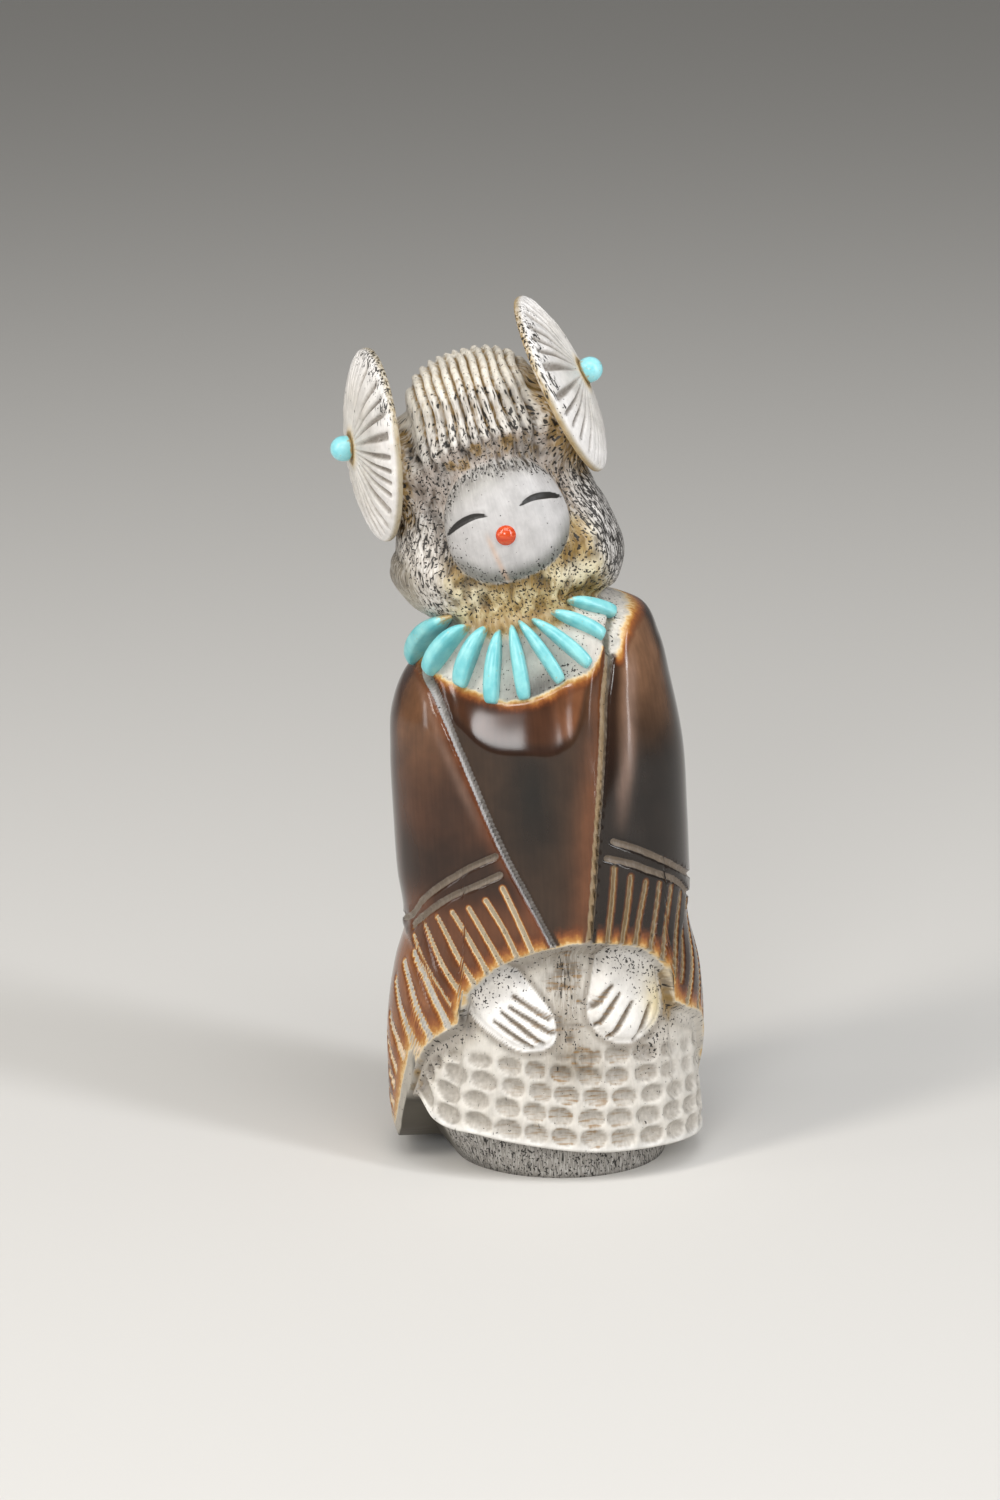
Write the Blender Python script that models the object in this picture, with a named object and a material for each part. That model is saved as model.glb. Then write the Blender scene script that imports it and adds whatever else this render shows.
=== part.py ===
"""Corn maiden, a small standing figure carved from one piece of antler.

The figure is one solid: a column of antler, oval in section, that leans and narrows from
the cut base to the crown. Everything on it is carved into that column: the polished bark
is left as a shawl with sleeves, and is cut away for the skirt of corn, the hands, the
chest, the face and the hair. Two fluted antler discs are glued to the hair, with a
turquoise bead on each. Nine turquoise tabs are let into the chest, and a coral dot is
the mouth.

Sizes are in millimetres and are turned to metres when a mesh is made. The figure faces
-Y and stands on z = 0. An azimuth is in degrees round the column, 0 at the front and
positive towards +X. A height is the height on the column's spine.
"""

import math

import bmesh
import bpy
import numpy as np
from mathutils import Matrix, Vector

MM = 0.001
GAP = 0.3              # clearance between a piece and what it is set in

# The antler column. Each ring: height, spine x, sideways lean in degrees, then its reach
# to the left, to the right, to the front and to the back of the spine.
RINGS = (
    (0.0, 0.0, 0.0, 20.4, 21.1, 17.4, 16.4),      # cut base
    (4.0, 0.0, 0.0, 21.8, 21.9, 18.0, 16.8),      # rim of the skirt
    (12.0, 0.0, 0.0, 22.5, 22.2, 18.0, 17.0),
    (19.0, 0.0, 0.0, 22.5, 22.3, 17.6, 16.8),
    (27.0, 0.0, 0.0, 21.4, 21.6, 16.9, 16.2),
    (33.5, 0.0, 0.0, 19.7, 20.0, 16.5, 15.6),     # cuffs
    (40.0, -0.1, 0.0, 20.4, 19.7, 16.3, 15.4),
    (48.0, -0.6, 1.0, 20.4, 19.8, 16.0, 15.2),
    (58.0, -1.2, 3.0, 20.2, 19.6, 15.6, 15.0),
    (65.0, -1.8, 6.0, 19.4, 18.6, 15.2, 14.4),
    (70.0, -2.2, 9.0, 17.6, 17.6, 14.4, 13.6),    # shoulders
    (74.0, -2.8, 11.0, 14.4, 16.0, 12.8, 12.2),
    (77.0, -3.6, 9.5, 13.0, 12.4, 11.4, 10.4),    # neck
    (79.5, -4.3, 6.5, 14.9, 14.0, 12.6, 11.0),    # lower edge of the hair
    (82.5, -4.9, 7.0, 16.3, 15.4, 13.6, 12.2),
    (88.0, -6.0, 11.0, 14.8, 14.4, 13.8, 12.6),   # eyes
    (94.0, -7.6, 14.0, 12.8, 12.4, 13.0, 12.2),
    (100.0, -9.2, 15.0, 10.6, 10.6, 11.6, 11.2),
    (104.5, -10.4, 15.0, 8.6, 9.2, 10.2, 10.0),   # start of the crown
)
ROUNDNESS = 2.25       # power of each ring's superellipse
CROWN_START = 104.5
CROWN_RISE = 7.0
CROWN_POWER = 0.8

# Edges cut in the bark: (azimuth, height) points.
SLEEVE_HEM = ((-44, 24.6), (-34, 27.4), (-22, 30.6), (-8, 32.4), (12, 33.6), (33, 33.2),
              (46, 32.0), (56, 29.0), (62, 27.0))
SHAWL_HEM = ((-128, 3.0), (-90, 3.0), (-73, 3.4), (-67.5, 5.6), (-64.5, 8.2), (-61.5, 11.0), (-57.5, 15.4),
             (-51.5, 19.0), (-44.5, 20.9), (10, 28.0), (54, 24.6), (66, 22.8), (78, 20.6), (90, 15.4),
             (104, 8.0), (116, 4.0), (128, 3.0))
SLEEVE_LEFT = -38.5    # azimuths at which the sleeves' hem ends
SLEEVE_RIGHT = 57.0
SLEEVE_BACK = ((-130, 37.0), (-91, 32.8), (-66, 31.2), (-52, 28.0), (-38, 22.6), (0, 10.0),
               (58, 27.0), (65, 32.0), (73, 35.0), (84, 38.0), (130, 40.0))
RIM = ((-128, 1.3), (-90, 1.3), (-71, 2.4), (-65, 5.2), (-61, 9.0), (-57.5, 10.9), (-48, 8.2),
       (-28, 6.8), (-8, 5.7), (18, 4.6), (50, 4.2), (84, 3.2), (104, 2.2), (128, 1.3))
BIB_EDGE = ((-130, 76.0), (-96, 74.2), (-72, 72.8), (-59, 71.7), (-36, 68.9), (-13, 66.7),
            (2, 66.9), (18, 68.1), (31, 69.4), (38.8, 70.6), (42.5, 71.8), (46.0, 70.5), (53.5, 72.4),
            (65.5, 74.3), (80, 75.0), (94, 75.4), (130, 76.4))
BEVEL_START = ((-60, 68.0), (-40, 64.0), (-27, 60.8), (-5, 59.6), (12, 59.8), (20, 61.5), (26, 65.5),
               (31, 70.0), (50, 74.0))
CHEST_BEVEL = 1.5
STEP = 0.3             # height over which a cut edge drops

# The opening under the hem, and the plug of antler that the figure stands on.
OPENING = (-100.0, 108.0)
OPENING_FADE = 14.0
SKIRT_FRONT = 12.0     # azimuth that the skirt and the hands are centred on
SKIRT_DEPTH = 3.4      # how far the skirt lies back under the middle of the hem
SKIRT_SIDE_DEPTH = 1.7
HEM_CUT = 0.3          # depth of the hem's edge, and how fast its cut face slopes in
HEM_SLOPE = 1.2
PLUG_CENTRE = (1.9, -0.5)
PLUG_REACH = (14.6, 14.0)
PLUG_FLARE = 0.4       # how much further left the plug reaches per millimetre up

BIB_DEPTH = 0.9
CHEST_DEPTH = 0.5      # front panel, lower than the shawl's edges beside it
SHAWL_DEPTH = 0.55     # back of the shawl, lower than the sleeves

# Grooves: edges of the shawl, bands over the cuffs.
LEFT_EDGE = ((-71.5, 72.8), (-54.6, 69.5), (-44.8, 65.2), (-37.6, 60.0), (-31.0, 55.0), (-16.6, 44.6),
             (3.2, 33.2))
RIGHT_EDGE = ((68, 76.8), (57.5, 74.6), (46.2, 71.8), (38.0, 66.7), (33.6, 61.2), (28.0, 53.4),
              (22.2, 41.8), (18.6, 31.8))
VALLEY_DEPTHS = (0.4, 0.9)     # the bark dips this far towards the left and right edges
VALLEY_WIDTH = 1.7
VALLEY_RADIUS = 0.3            # millimetres across for each degree
EDGE_WIDTH, EDGE_DEPTH = 1.3, 0.7
CUFF_BANDS = (
    ((-23, 45.8), (-34.5, 44.0), (-46.5, 41.4), (-57.5, 38.6), (-74, 34.4), (-104, 32.6)),
    ((-21.5, 43.2), (-33, 41.4), (-44.5, 39.4), (-55, 37.0), (-68.5, 33.8)),
    ((32.5, 47.4), (44.5, 45.8), (57.5, 43.6), (78.5, 40.2), (108, 37.4)),
    ((29, 45.2), (39.5, 44.2), (51.5, 42.4), (63.5, 40.6), (78.5, 37.4), (100, 34.0)),
)
BAND_WIDTH, BAND_DEPTH = 1.1, 0.5
# Fringe: number of strokes, first top and last top, first end and last end.
LEFT_FRINGE = (7, (-20.5, 41.4), (-67, 32.8), (-6.5, 32.2), (-43, 24.6))
RIGHT_FRINGE = (7, (32, 44.0), (75, 37.2), (27, 33.0), (63, 26.4))
LEFT_SHAWL_FRINGE = (8, (-66, 30.4), (-92, 6.0), (-44.5, 21.4), (-73, 5.4))
RIGHT_SHAWL_FRINGE = (6, (84, 34.0), (112, 18.0), (66, 23.4), (102, 10.0))
FRINGE_WIDTH, FRINGE_DEPTH = 1.0, 0.5

# Hands: corners of each outline as azimuth and height, anticlockwise from under the hem,
# and the two ends of each groove between the fingers.
HAND_RADIUS = 16.9     # reach of the column at the hands
HANDS = (
    ((-21.0, 31.5), (-41.0, 27.0), (-36.0, 22.6), (-25.0, 20.2), (-16.5, 18.6), (-6.5, 18.2), (4.0, 19.4),
     (5.6, 21.6), (2.8, 24.2), (-6.0, 26.8)),
    ((54.5, 33.0), (27.0, 33.0), (21.3, 27.0), (18.5, 23.8), (22.4, 21.2), (29.0, 19.5), (38.0, 18.9),
     (47.0, 20.2), (53.8, 22.4), (55.5, 25.0)),
)
FINGER_GROOVES = (
    ((-16.5, 26.2), (2.4, 22.9)), ((-18.1, 24.7), (4.6, 20.8)), ((-21.4, 24.0), (-1.6, 19.6)),
    ((-24.7, 22.7), (-7.0, 19.1)), ((29.8, 27.4), (19.0, 24.4)), ((33.4, 26.2), (22.4, 21.7)),
    ((38.8, 25.0), (28.1, 20.0)), ((46.6, 24.4), (39.7, 19.5)),
)
KNUCKLE_DEPTH = 0.55
HAND_SIDE_DEPTH = 2.4
HAND_CORNER = 0.45     # radius of the outlines' corners
FINGER_WIDTH, FINGER_DEPTH = 0.7, 0.5

# Kernels of corn: dimples in rows that follow the rim.
KERNEL_AZIMUTH = 6.8
SKIRT_RADIUS = 18.0
KERNEL_PITCH = (11.9, 2.75)      # degrees across, millimetres up
KERNEL_REACH = (1.72, 1.28)
KERNEL_DEPTH = 0.5
FIRST_ROW = 2.6

# Head: where the face's middle is, and how the head is turned.
FACE_AZIMUTH, FACE_HEIGHT = 5.5, 90.2
HEAD_TILT, HEAD_YAW = 17.0, 5.0
FACE_REACH = (10.0, 7.9)
FACE_NARROWING = 0.1   # how much narrower the brow is than the cheeks
FACE_ROUNDNESS = 2.45
FACE_EDGE = 2.5
FACE_MIDDLE = 0.7
EYE = ((2.3, 1.75), (4.4, 2.05), (6.9, 1.5), (9.4, 0.35))
EYE_WIDTH, EYE_DEPTH = 0.9, 0.7
MOUTH = (-0.7, -1.5)
MOUTH_RADIUS = 1.4
STRAND_PITCH = 1.95
STRAND_DEPTH = 0.55
BANGS_LINE = 9.6       # height over the face's middle at which the strands end

# Hair discs: middle of the flat inner face, lean to the left and turn to the front.
WHORLS = {
    "left": ((-22.5, -1.0, 98.9), 4.0, 15.0, 13.0, -1),
    "right": ((1.1, -0.5, 106.8), 26.4, 6.0, 12.8, 1),
}
WHORL_RISE = 4.0
WHORL_RIM = 1.0
WHORL_FLUTES = 30
FLUTE_DEPTH = 0.45
SEAT_RADIUS = 5.6
SEAT_FADE = 2.6
SEAT_DROP = 4.0        # how far below the disc's middle its seat lies
BEAD_RADIUS = 1.65
BEAD_BARREL = (1.05, 1.75)     # heights over the post's foot between which the bead is straight
POST_RADIUS = 0.8

# Necklace: top and lower end of each tab, and its thickness.
TABS = (
    ((-46, 78.3), (-84, 73.0), 2.1), ((-39.5, 76.8), (-60, 71.9), 2.1), ((-27, 76.4), (-41.5, 70.1), 2.3),
    ((-18.5, 75.8), (-24, 67.2), 2.1), ((-7.5, 76.2), (-5.5, 67.4), 1.9), ((-0.5, 76.6), (16.5, 68.6), 1.6),
    ((9.5, 76.7), (31.5, 70.2), 1.6), ((24.5, 77.0), (44.5, 72.9), 1.8), ((40, 78.0), (61, 74.8), 2.0),
)
TAB_TAPER = 0.5        # thickness at the neck, as a share of that at the lower end
TAB_PROUD = 2.6
TAB_SUNK = 1.3

WAIST, CHEST = 50.0, 64.0
COLUMNS = 420          # points round the column, closer together in front
ROW_COUNTS = (8, 80, 70, 50, 150)     # rows from base to rim, hem, waist, chest and crown
FIGURE_TRIANGLES = 6540

COLOURS = {
    "antler_figure": ((0.19, 0.10, 0.055), 0.25),
    "whorl": ((0.72, 0.69, 0.64), 0.5),
    "turquoise": ((0.17, 0.62, 0.62), 0.3),
    "coral": ((0.78, 0.10, 0.03), 0.2),
}


class Curve:
    """A smooth curve through a few (position, value) points."""

    def __init__(self, points):
        table = np.array(points, dtype=float)
        self.at = table[:, 0]
        self.value = table[:, 1:]
        self.slope = np.gradient(self.value, self.at, axis=0)

    def __call__(self, position):
        position = np.asarray(position, dtype=float)
        i = np.clip(np.searchsorted(self.at, position) - 1, 0, len(self.at) - 2)
        span = self.at[i + 1] - self.at[i]
        t = np.clip((position - self.at[i]) / span, 0.0, 1.0)[..., None]
        span = span[..., None]
        start = (1 + 2 * t) * (1 - t) ** 2 * self.value[i] + t * (1 - t) ** 2 * span * self.slope[i]
        end = t * t * (3 - 2 * t) * self.value[i + 1] + t * t * (t - 1) * span * self.slope[i + 1]
        result = start + end
        return result[..., 0] if result.shape[-1] == 1 else result


RING_CURVE = Curve(RINGS)
SLEEVE_HEM_CURVE = Curve(SLEEVE_HEM)
SHAWL_HEM_CURVE = Curve(SHAWL_HEM)
SLEEVE_BACK_CURVE = Curve(SLEEVE_BACK)
RIM_CURVE = Curve(RIM)
BIB_CURVE = Curve(BIB_EDGE)
BEVEL_START_CURVE = Curve(BEVEL_START)
LEFT_EDGE_CURVE = Curve(sorted((height, azimuth) for azimuth, height in LEFT_EDGE))
RIGHT_EDGE_CURVE = Curve(sorted((height, azimuth) for azimuth, height in RIGHT_EDGE))


def ease(value, start, end):
    """0 before start, 1 after end, smooth between them."""
    t = np.clip((value - start) / (end - start), 0.0, 1.0)
    return t * t * (3 - 2 * t)


def column(azimuth, height):
    """Points on the uncarved column, from azimuths in degrees and heights."""
    azimuth = np.radians(azimuth)
    height = np.asarray(height, dtype=float)
    ring = RING_CURVE(np.minimum(height, CROWN_START))
    spine, lean, left, right, front, back = np.moveaxis(ring, -1, 0)
    lean = np.radians(lean)
    share = np.clip((height - CROWN_START) / CROWN_RISE, 0.0, 1.0)
    narrowing = np.cos(np.arcsin(share ** (1 / CROWN_POWER))) ** CROWN_POWER
    rise = CROWN_RISE * share
    across, along = np.sin(azimuth), np.cos(azimuth)
    side_reach = np.where(across < 0, left, right)
    front_reach = np.where(along > 0, front, back)
    power = np.abs(across / side_reach) ** ROUNDNESS + np.abs(along / front_reach) ** ROUNDNESS
    radius = power ** (-1 / ROUNDNESS) * narrowing
    x = spine + radius * across * np.cos(lean) - rise * np.sin(lean)
    z = np.minimum(height, CROWN_START) + radius * across * np.sin(lean) + rise * np.cos(lean)
    return np.stack([x, -radius * along, z], axis=-1)


def hem(azimuth):
    """Height of the bark's lower edge: the sleeves' hem in front, the shawl's beside it."""
    in_sleeve = ease(azimuth, SLEEVE_LEFT - 1, SLEEVE_LEFT + 1)
    in_sleeve = in_sleeve * ease(-azimuth, -SLEEVE_RIGHT - 1, -SLEEVE_RIGHT + 1)
    return SHAWL_HEM_CURVE(azimuth) * (1 - in_sleeve) + SLEEVE_HEM_CURVE(azimuth) * in_sleeve


def opening(azimuth):
    """1 where the bark is open in front, 0 round the back."""
    left = ease(azimuth, OPENING[0] - OPENING_FADE, OPENING[0])
    right = ease(-azimuth, -OPENING[1] - OPENING_FADE, -OPENING[1])
    return left * right


def grid():
    """Azimuth and height of every point: rows follow the rim and the hem."""
    turn = np.linspace(-1, 1, COLUMNS, endpoint=False)
    azimuth = 180 * (0.72 * turn + 0.28 * turn ** 3)
    level = np.ones(COLUMNS)
    marks = (0 * level, RIM_CURVE(azimuth), hem(azimuth), WAIST * level, CHEST * level,
             CROWN_START * level)
    rows = []
    for start, end, count in zip(marks, marks[1:], ROW_COUNTS):
        low = start + (STEP / 2 if start is not marks[0] else 0)
        high = end - STEP / 2
        rows += [low + (high - low) * k / count for k in range(count + 1)]
    crown = np.sin(np.linspace(0.06, 1.5, 26)) ** CROWN_POWER
    rows += [(CROWN_START + CROWN_RISE * share) * level for share in crown]
    heights = np.array(rows)
    return np.broadcast_to(azimuth, heights.shape), heights


def plug_depth(azimuth, height, skin):
    """How far in from the column's skin the standing plug lies."""
    flare = PLUG_FLARE * np.clip(height, 0, 8)
    wide, deep = PLUG_REACH[0] + flare, PLUG_REACH[1]
    ray_x, ray_y = np.sin(np.radians(azimuth)) / wide, -np.cos(np.radians(azimuth)) / deep
    start_x, start_y = (flare - PLUG_CENTRE[0]) / wide, -PLUG_CENTRE[1] / deep
    a = ray_x ** 2 + ray_y ** 2
    b = ray_x * start_x + ray_y * start_y
    c = start_x ** 2 + start_y ** 2 - 1
    reach = (-b + np.sqrt(b * b - a * c)) / a
    return np.hypot(skin[..., 0], skin[..., 1]) - reach


def beyond_hands(azimuth, height):
    """Distance outside the nearer hand, negative inside it."""
    scale = np.array([math.radians(HAND_RADIUS), 1.0])
    place = np.stack([azimuth, height], axis=-1) * scale
    nearest = np.full(height.shape, 99.0)
    for outline in HANDS:
        corners = np.array(outline) * scale
        outside = np.zeros(height.shape)
        for start, end in zip(corners, np.roll(corners, -1, axis=0)):
            side = np.array([end[1] - start[1], start[0] - end[0]]) / np.linalg.norm(end - start)
            outside = outside + np.exp(np.clip((place - start) @ side / HAND_CORNER, -30, 30))
        nearest = np.minimum(nearest, HAND_CORNER * np.log(outside))
    return nearest


def hand_depth(azimuth, height):
    """Depth of the backs of the hands, large away from them."""
    beyond = beyond_hands(azimuth, height)
    back = KNUCKLE_DEPTH + 0.06 * np.maximum(height - 20, 0)
    return np.where(beyond < 6, back + HAND_SIDE_DEPTH * np.exp(np.clip(beyond / 0.5, -9, 2)), 99.0)


def head_frame():
    """Middle of the face on the column, and the head's own right and up directions."""
    middle = column(FACE_AZIMUTH, FACE_HEIGHT)
    tilt, yaw = math.radians(HEAD_TILT), math.radians(HEAD_YAW)
    right = np.array([math.cos(tilt) * math.cos(yaw), math.sin(yaw), math.sin(tilt)])
    forward = np.array([math.sin(yaw), -math.cos(yaw), 0.0])
    right = right / np.linalg.norm(right)
    up = np.cross(right, -forward)
    return middle, right, up / np.linalg.norm(up)


def head_place(points):
    """Distance of each point to the right of, above and in front of the face's middle."""
    middle, right, up = head_frame()
    offset = points - middle
    return offset @ right, offset @ up, offset @ np.cross(right, up)


def face_depth(skin, height):
    """The face: a low dome in a hollow cut in the hair, open to the throat below."""
    across, up, front = head_place(skin)
    half_width = FACE_REACH[0] * (1 - FACE_NARROWING * ease(up, -3, 8))
    power = np.abs(across / half_width) ** FACE_ROUNDNESS + np.abs(up / FACE_REACH[1]) ** FACE_ROUNDNESS
    radius = power ** (1 / FACE_ROUNDNESS)
    dome = FACE_MIDDLE + (FACE_EDGE - 0.4 - FACE_MIDDLE) * radius ** 3
    reach = 1.3 + 0.22 * ease(up, 2, 9)
    hollow = FACE_EDGE * ease(-radius, -reach, -1.02)
    throat = FACE_EDGE * ease(-np.abs(across + 0.6), -10.8, -8.6) * ease(-up, 2, 5)
    hollow = np.maximum(hollow, throat * ease(height, 76.5, 79.5))
    inside = ease(-radius, -1.03, -0.97)
    depth = dome * inside + hollow * (1 - inside)
    return np.where(front > -9, depth, 0.0)


def shoulder_depth(azimuth, height):
    """Depth of the bevel at the top of the chest and of the valleys along the shawl's edges."""
    above = np.maximum(height - BEVEL_START_CURVE(azimuth), 0)
    lean = 1 - np.exp(-(above / 4.5) ** 1.3)
    front = ease(-np.abs(azimuth + 4), -62, -30) * ease(-height, -77, -71)
    upper = ease(height, 50, 64) * ease(-height, -76, -73)
    depth = CHEST_BEVEL * lean * front
    for edge, valley in zip((LEFT_EDGE_CURVE, RIGHT_EDGE_CURVE), VALLEY_DEPTHS):
        beside = (azimuth - edge(height)) * VALLEY_RADIUS
        depth = depth + valley * upper * np.exp(-(beside / VALLEY_WIDTH) ** 2)
    return depth


def form_depth(azimuth, height, skin):
    """Depth of the large forms below the column's skin."""
    open_front = opening(azimuth)
    rim, edge = RIM_CURVE(azimuth), hem(azimuth)
    share = np.clip((height - rim) / (edge - rim), 0.0, 1.0)
    middle = np.exp(-((azimuth - SKIRT_FRONT) / 38) ** 2)
    lie = SKIRT_SIDE_DEPTH + (SKIRT_DEPTH - SKIRT_SIDE_DEPTH) * middle
    skirt = np.minimum(lie * share ** 0.9, HEM_CUT + HEM_SLOPE * np.maximum(edge - height, 0))
    skirt = np.minimum(skirt, hand_depth(azimuth, height))
    plug = plug_depth(azimuth, height, skin)
    under_rim = np.maximum(ease(rim - height, -STEP / 2, STEP / 2), ease(-azimuth, 58, 61))
    opened = skirt * (1 - under_rim) + plug * under_rim
    cut_away = ease(edge - height, -STEP / 2, STEP / 2) * open_front
    chest = ease(azimuth - LEFT_EDGE_CURVE(height), 0, 1.6)
    chest = chest * ease(RIGHT_EDGE_CURVE(height) - azimuth, 0, 1.6) * ease(-height, -73, -70)
    shawl = ease(SLEEVE_BACK_CURVE(azimuth) - height, 0, 0.7) * ease(-np.abs(azimuth), -150, -95)
    bib = ease(height - BIB_CURVE(azimuth), -0.2, 0.6) * ease(-height, -79, -77)
    bark = CHEST_DEPTH * chest * (1 - bib) + SHAWL_DEPTH * shawl
    depth = opened * cut_away + bark * (1 - cut_away)
    return depth + BIB_DEPTH * bib + shoulder_depth(azimuth, height) + face_depth(skin, height)


def whorl_frame(side):
    """Middle of a hair disc's inner face, its outward normal, and its own up direction."""
    middle, lean, turn, _, sign = WHORLS[side]
    lean, turn = math.radians(lean), math.radians(turn)
    up = np.array([-math.sin(lean), 0.0, math.cos(lean)])
    normal = np.array([math.cos(lean) * math.cos(turn), 0.0, math.sin(lean) * math.cos(turn)])
    normal = sign * normal + np.array([0.0, -math.sin(turn), 0.0])
    return np.array(middle), normal, up


def seat_whorls(points):
    """Bring the sides of the hair out to flat seats behind the discs."""
    for side, (_, _, _, radius, _) in WHORLS.items():
        middle, normal, up = whorl_frame(side)
        offset = points - middle
        along = offset @ normal
        beside = np.linalg.norm(offset - along[..., None] * normal, axis=-1)
        under = np.linalg.norm(offset - along[..., None] * normal + SEAT_DROP * up, axis=-1)
        near = ease(along, -11, -8) * ease(-under, -SEAT_RADIUS - SEAT_FADE, -SEAT_RADIUS)
        lift = np.maximum(-GAP - along, 0.0) * near
        lift = np.where((along > -GAP) & (beside < radius + 1), -GAP - along, lift)
        points = points + lift[..., None] * normal
    return points


def line_depth(skin, path, width, depth):
    """A groove along a smooth path of (azimuth, height) points."""
    places = Curve([(k, *point) for k, point in enumerate(path)])
    steps = places(np.linspace(0, len(path) - 1, 8 * (len(path) - 1) + 1))
    return stroke_depth(skin, column(steps[:, 0], steps[:, 1]), width, depth)


def stroke_depth(skin, line, width, depth):
    """A groove along a chain of points, round in section."""
    near = np.all((skin > line.min(0) - width) & (skin < line.max(0) + width), axis=-1)
    result = np.zeros(skin.shape[:-1])
    points = skin[near]
    closest = np.full(len(points), 99.0)
    for start, end in zip(line[:-1], line[1:]):
        span = end - start
        t = np.clip((points - start) @ span / (span @ span), 0, 1)
        closest = np.minimum(closest, np.linalg.norm(points - start - t[:, None] * span, axis=1))
    result[near] = depth * np.clip(1 - (2 * closest / width) ** 2, 0, 1)
    return result


def fringe_depth(skin, fringe):
    """A row of fringe strokes between two edges."""
    count, first_top, last_top, first_end, last_end = fringe
    depth = np.zeros(skin.shape[:-1])
    for share in np.linspace(0, 1, count):
        top = np.array(first_top) * (1 - share) + np.array(last_top) * share
        end = np.array(first_end) * (1 - share) + np.array(last_end) * share
        stroke = line_depth(skin, (top, (top + end) / 2, end), FRINGE_WIDTH, FRINGE_DEPTH)
        depth = np.maximum(depth, stroke)
    return depth


def finger_depth(skin):
    """Grooves between the fingers of both hands."""
    depth = np.zeros(skin.shape[:-1])
    for groove in FINGER_GROOVES:
        depth = np.maximum(depth, line_depth(skin, groove, FINGER_WIDTH, FINGER_DEPTH))
    return depth


def kernel_depth(azimuth, height):
    """Dimples of corn on the skirt."""
    rim, edge = RIM_CURVE(azimuth), hem(azimuth)
    row = (height - rim - FIRST_ROW) / KERNEL_PITCH[1]
    line = np.maximum(np.round(row), 0)
    shift = 0.13 * np.sin(2.3 * line)
    place = (azimuth - KERNEL_AZIMUTH) / KERNEL_PITCH[0] + shift
    across = (place - np.round(place)) * math.radians(KERNEL_PITCH[0]) * SKIRT_RADIUS
    up = (row - line) * KERNEL_PITCH[1]
    bowl = np.abs(across / KERNEL_REACH[0]) ** 2.4 + np.abs(up / KERNEL_REACH[1]) ** 2.4
    inside = ease(edge - height, 0.8, 1.8) * ease(height - rim, 0.5, 1.0) * opening(azimuth)
    inside = inside * ease(azimuth, -60, -55) * ease(beyond_hands(azimuth, height), 0.2, 1.0)
    top = 19.5 + 3 * ease(-azimuth, 20, 30)
    return KERNEL_DEPTH * np.clip(1 - bowl, 0, 1) * inside * ease(top - height, -1, 1)


def strand_depth(skin, height):
    """Strands of hair that run over the crown from front to back."""
    across, up, front = head_place(skin)
    ridge = np.abs(np.sin(np.pi * across / STRAND_PITCH))
    inside = ease(up, BANGS_LINE - 1.5, BANGS_LINE + 1.0) * ease(front, -26, -20)
    return STRAND_DEPTH * (1 - ridge) * inside


def eye_depth(skin):
    """The two closed eyes."""
    depth = np.zeros(skin.shape[:-1])
    across, rise, front = head_place(skin)
    flat = np.stack([across, rise, 0 * front], axis=-1)
    flat[front < -8] = 99.0
    for side in (-1, 1):
        line = Curve([(k, side * x, z) for k, (x, z) in enumerate(EYE)])
        points = line(np.linspace(0, len(EYE) - 1, 9))
        points = np.column_stack([points, np.zeros(len(points))])
        depth = np.maximum(depth, stroke_depth(flat, points, EYE_WIDTH, EYE_DEPTH))
    return depth


def carve_depth(azimuth, height, skin):
    """Depth of the fine carving below the large forms."""
    edge = hem(azimuth)
    on_bark = ease(height - edge, -0.05, 0.1)
    depth = np.zeros(skin.shape[:-1])
    for path in (LEFT_EDGE, RIGHT_EDGE):
        depth = np.maximum(depth, line_depth(skin, path, EDGE_WIDTH, EDGE_DEPTH))
    for path in CUFF_BANDS:
        depth = np.maximum(depth, line_depth(skin, path, BAND_WIDTH, BAND_DEPTH))
    for fringe in (LEFT_FRINGE, RIGHT_FRINGE, LEFT_SHAWL_FRINGE, RIGHT_SHAWL_FRINGE):
        depth = np.maximum(depth, fringe_depth(skin, fringe))
    depth = depth * on_bark
    depth = depth + finger_depth(skin) * ease(-beyond_hands(azimuth, height), -0.1, 0.2) * (1 - on_bark)
    depth = depth + kernel_depth(azimuth, height)
    return depth + strand_depth(skin, height) + eye_depth(skin)


def inward(points):
    """Unit vectors into the solid at every point of the grid."""
    round_way = np.roll(points, -1, axis=1) - np.roll(points, 1, axis=1)
    up_way = np.gradient(points, axis=0)
    normal = np.cross(up_way, round_way)
    length = np.linalg.norm(normal, axis=-1, keepdims=True)
    return normal / np.maximum(length, 1e-9)


def carved_column():
    """The whole figure as a grid of points, in rows from the base to the crown."""
    azimuth, height = grid()
    skin = column(azimuth, height)
    depth = form_depth(azimuth, height, skin)
    ring = RING_CURVE(np.minimum(height, CROWN_START))
    spine = np.stack([ring[..., 0], 0 * height, np.minimum(height, CROWN_START)], axis=-1)
    toward = spine - skin
    toward = toward / np.linalg.norm(toward, axis=-1, keepdims=True)
    form = seat_whorls(skin + depth[..., None] * toward)
    fine = carve_depth(azimuth, height, skin)
    carved = form + fine[..., None] * inward(form)
    carved[0] = form[0]
    carved[0, :, 2] = 0.0
    return carved


def material(name, colour, roughness):
    """A plain finish of one colour."""
    finish = bpy.data.materials.new(name)
    finish.use_nodes = True
    shader = finish.node_tree.nodes["Principled BSDF"]
    shader.inputs["Base Color"].default_value = (*colour, 1.0)
    shader.inputs["Roughness"].default_value = roughness
    shader.inputs["Metallic"].default_value = 0.0
    return finish


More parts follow.
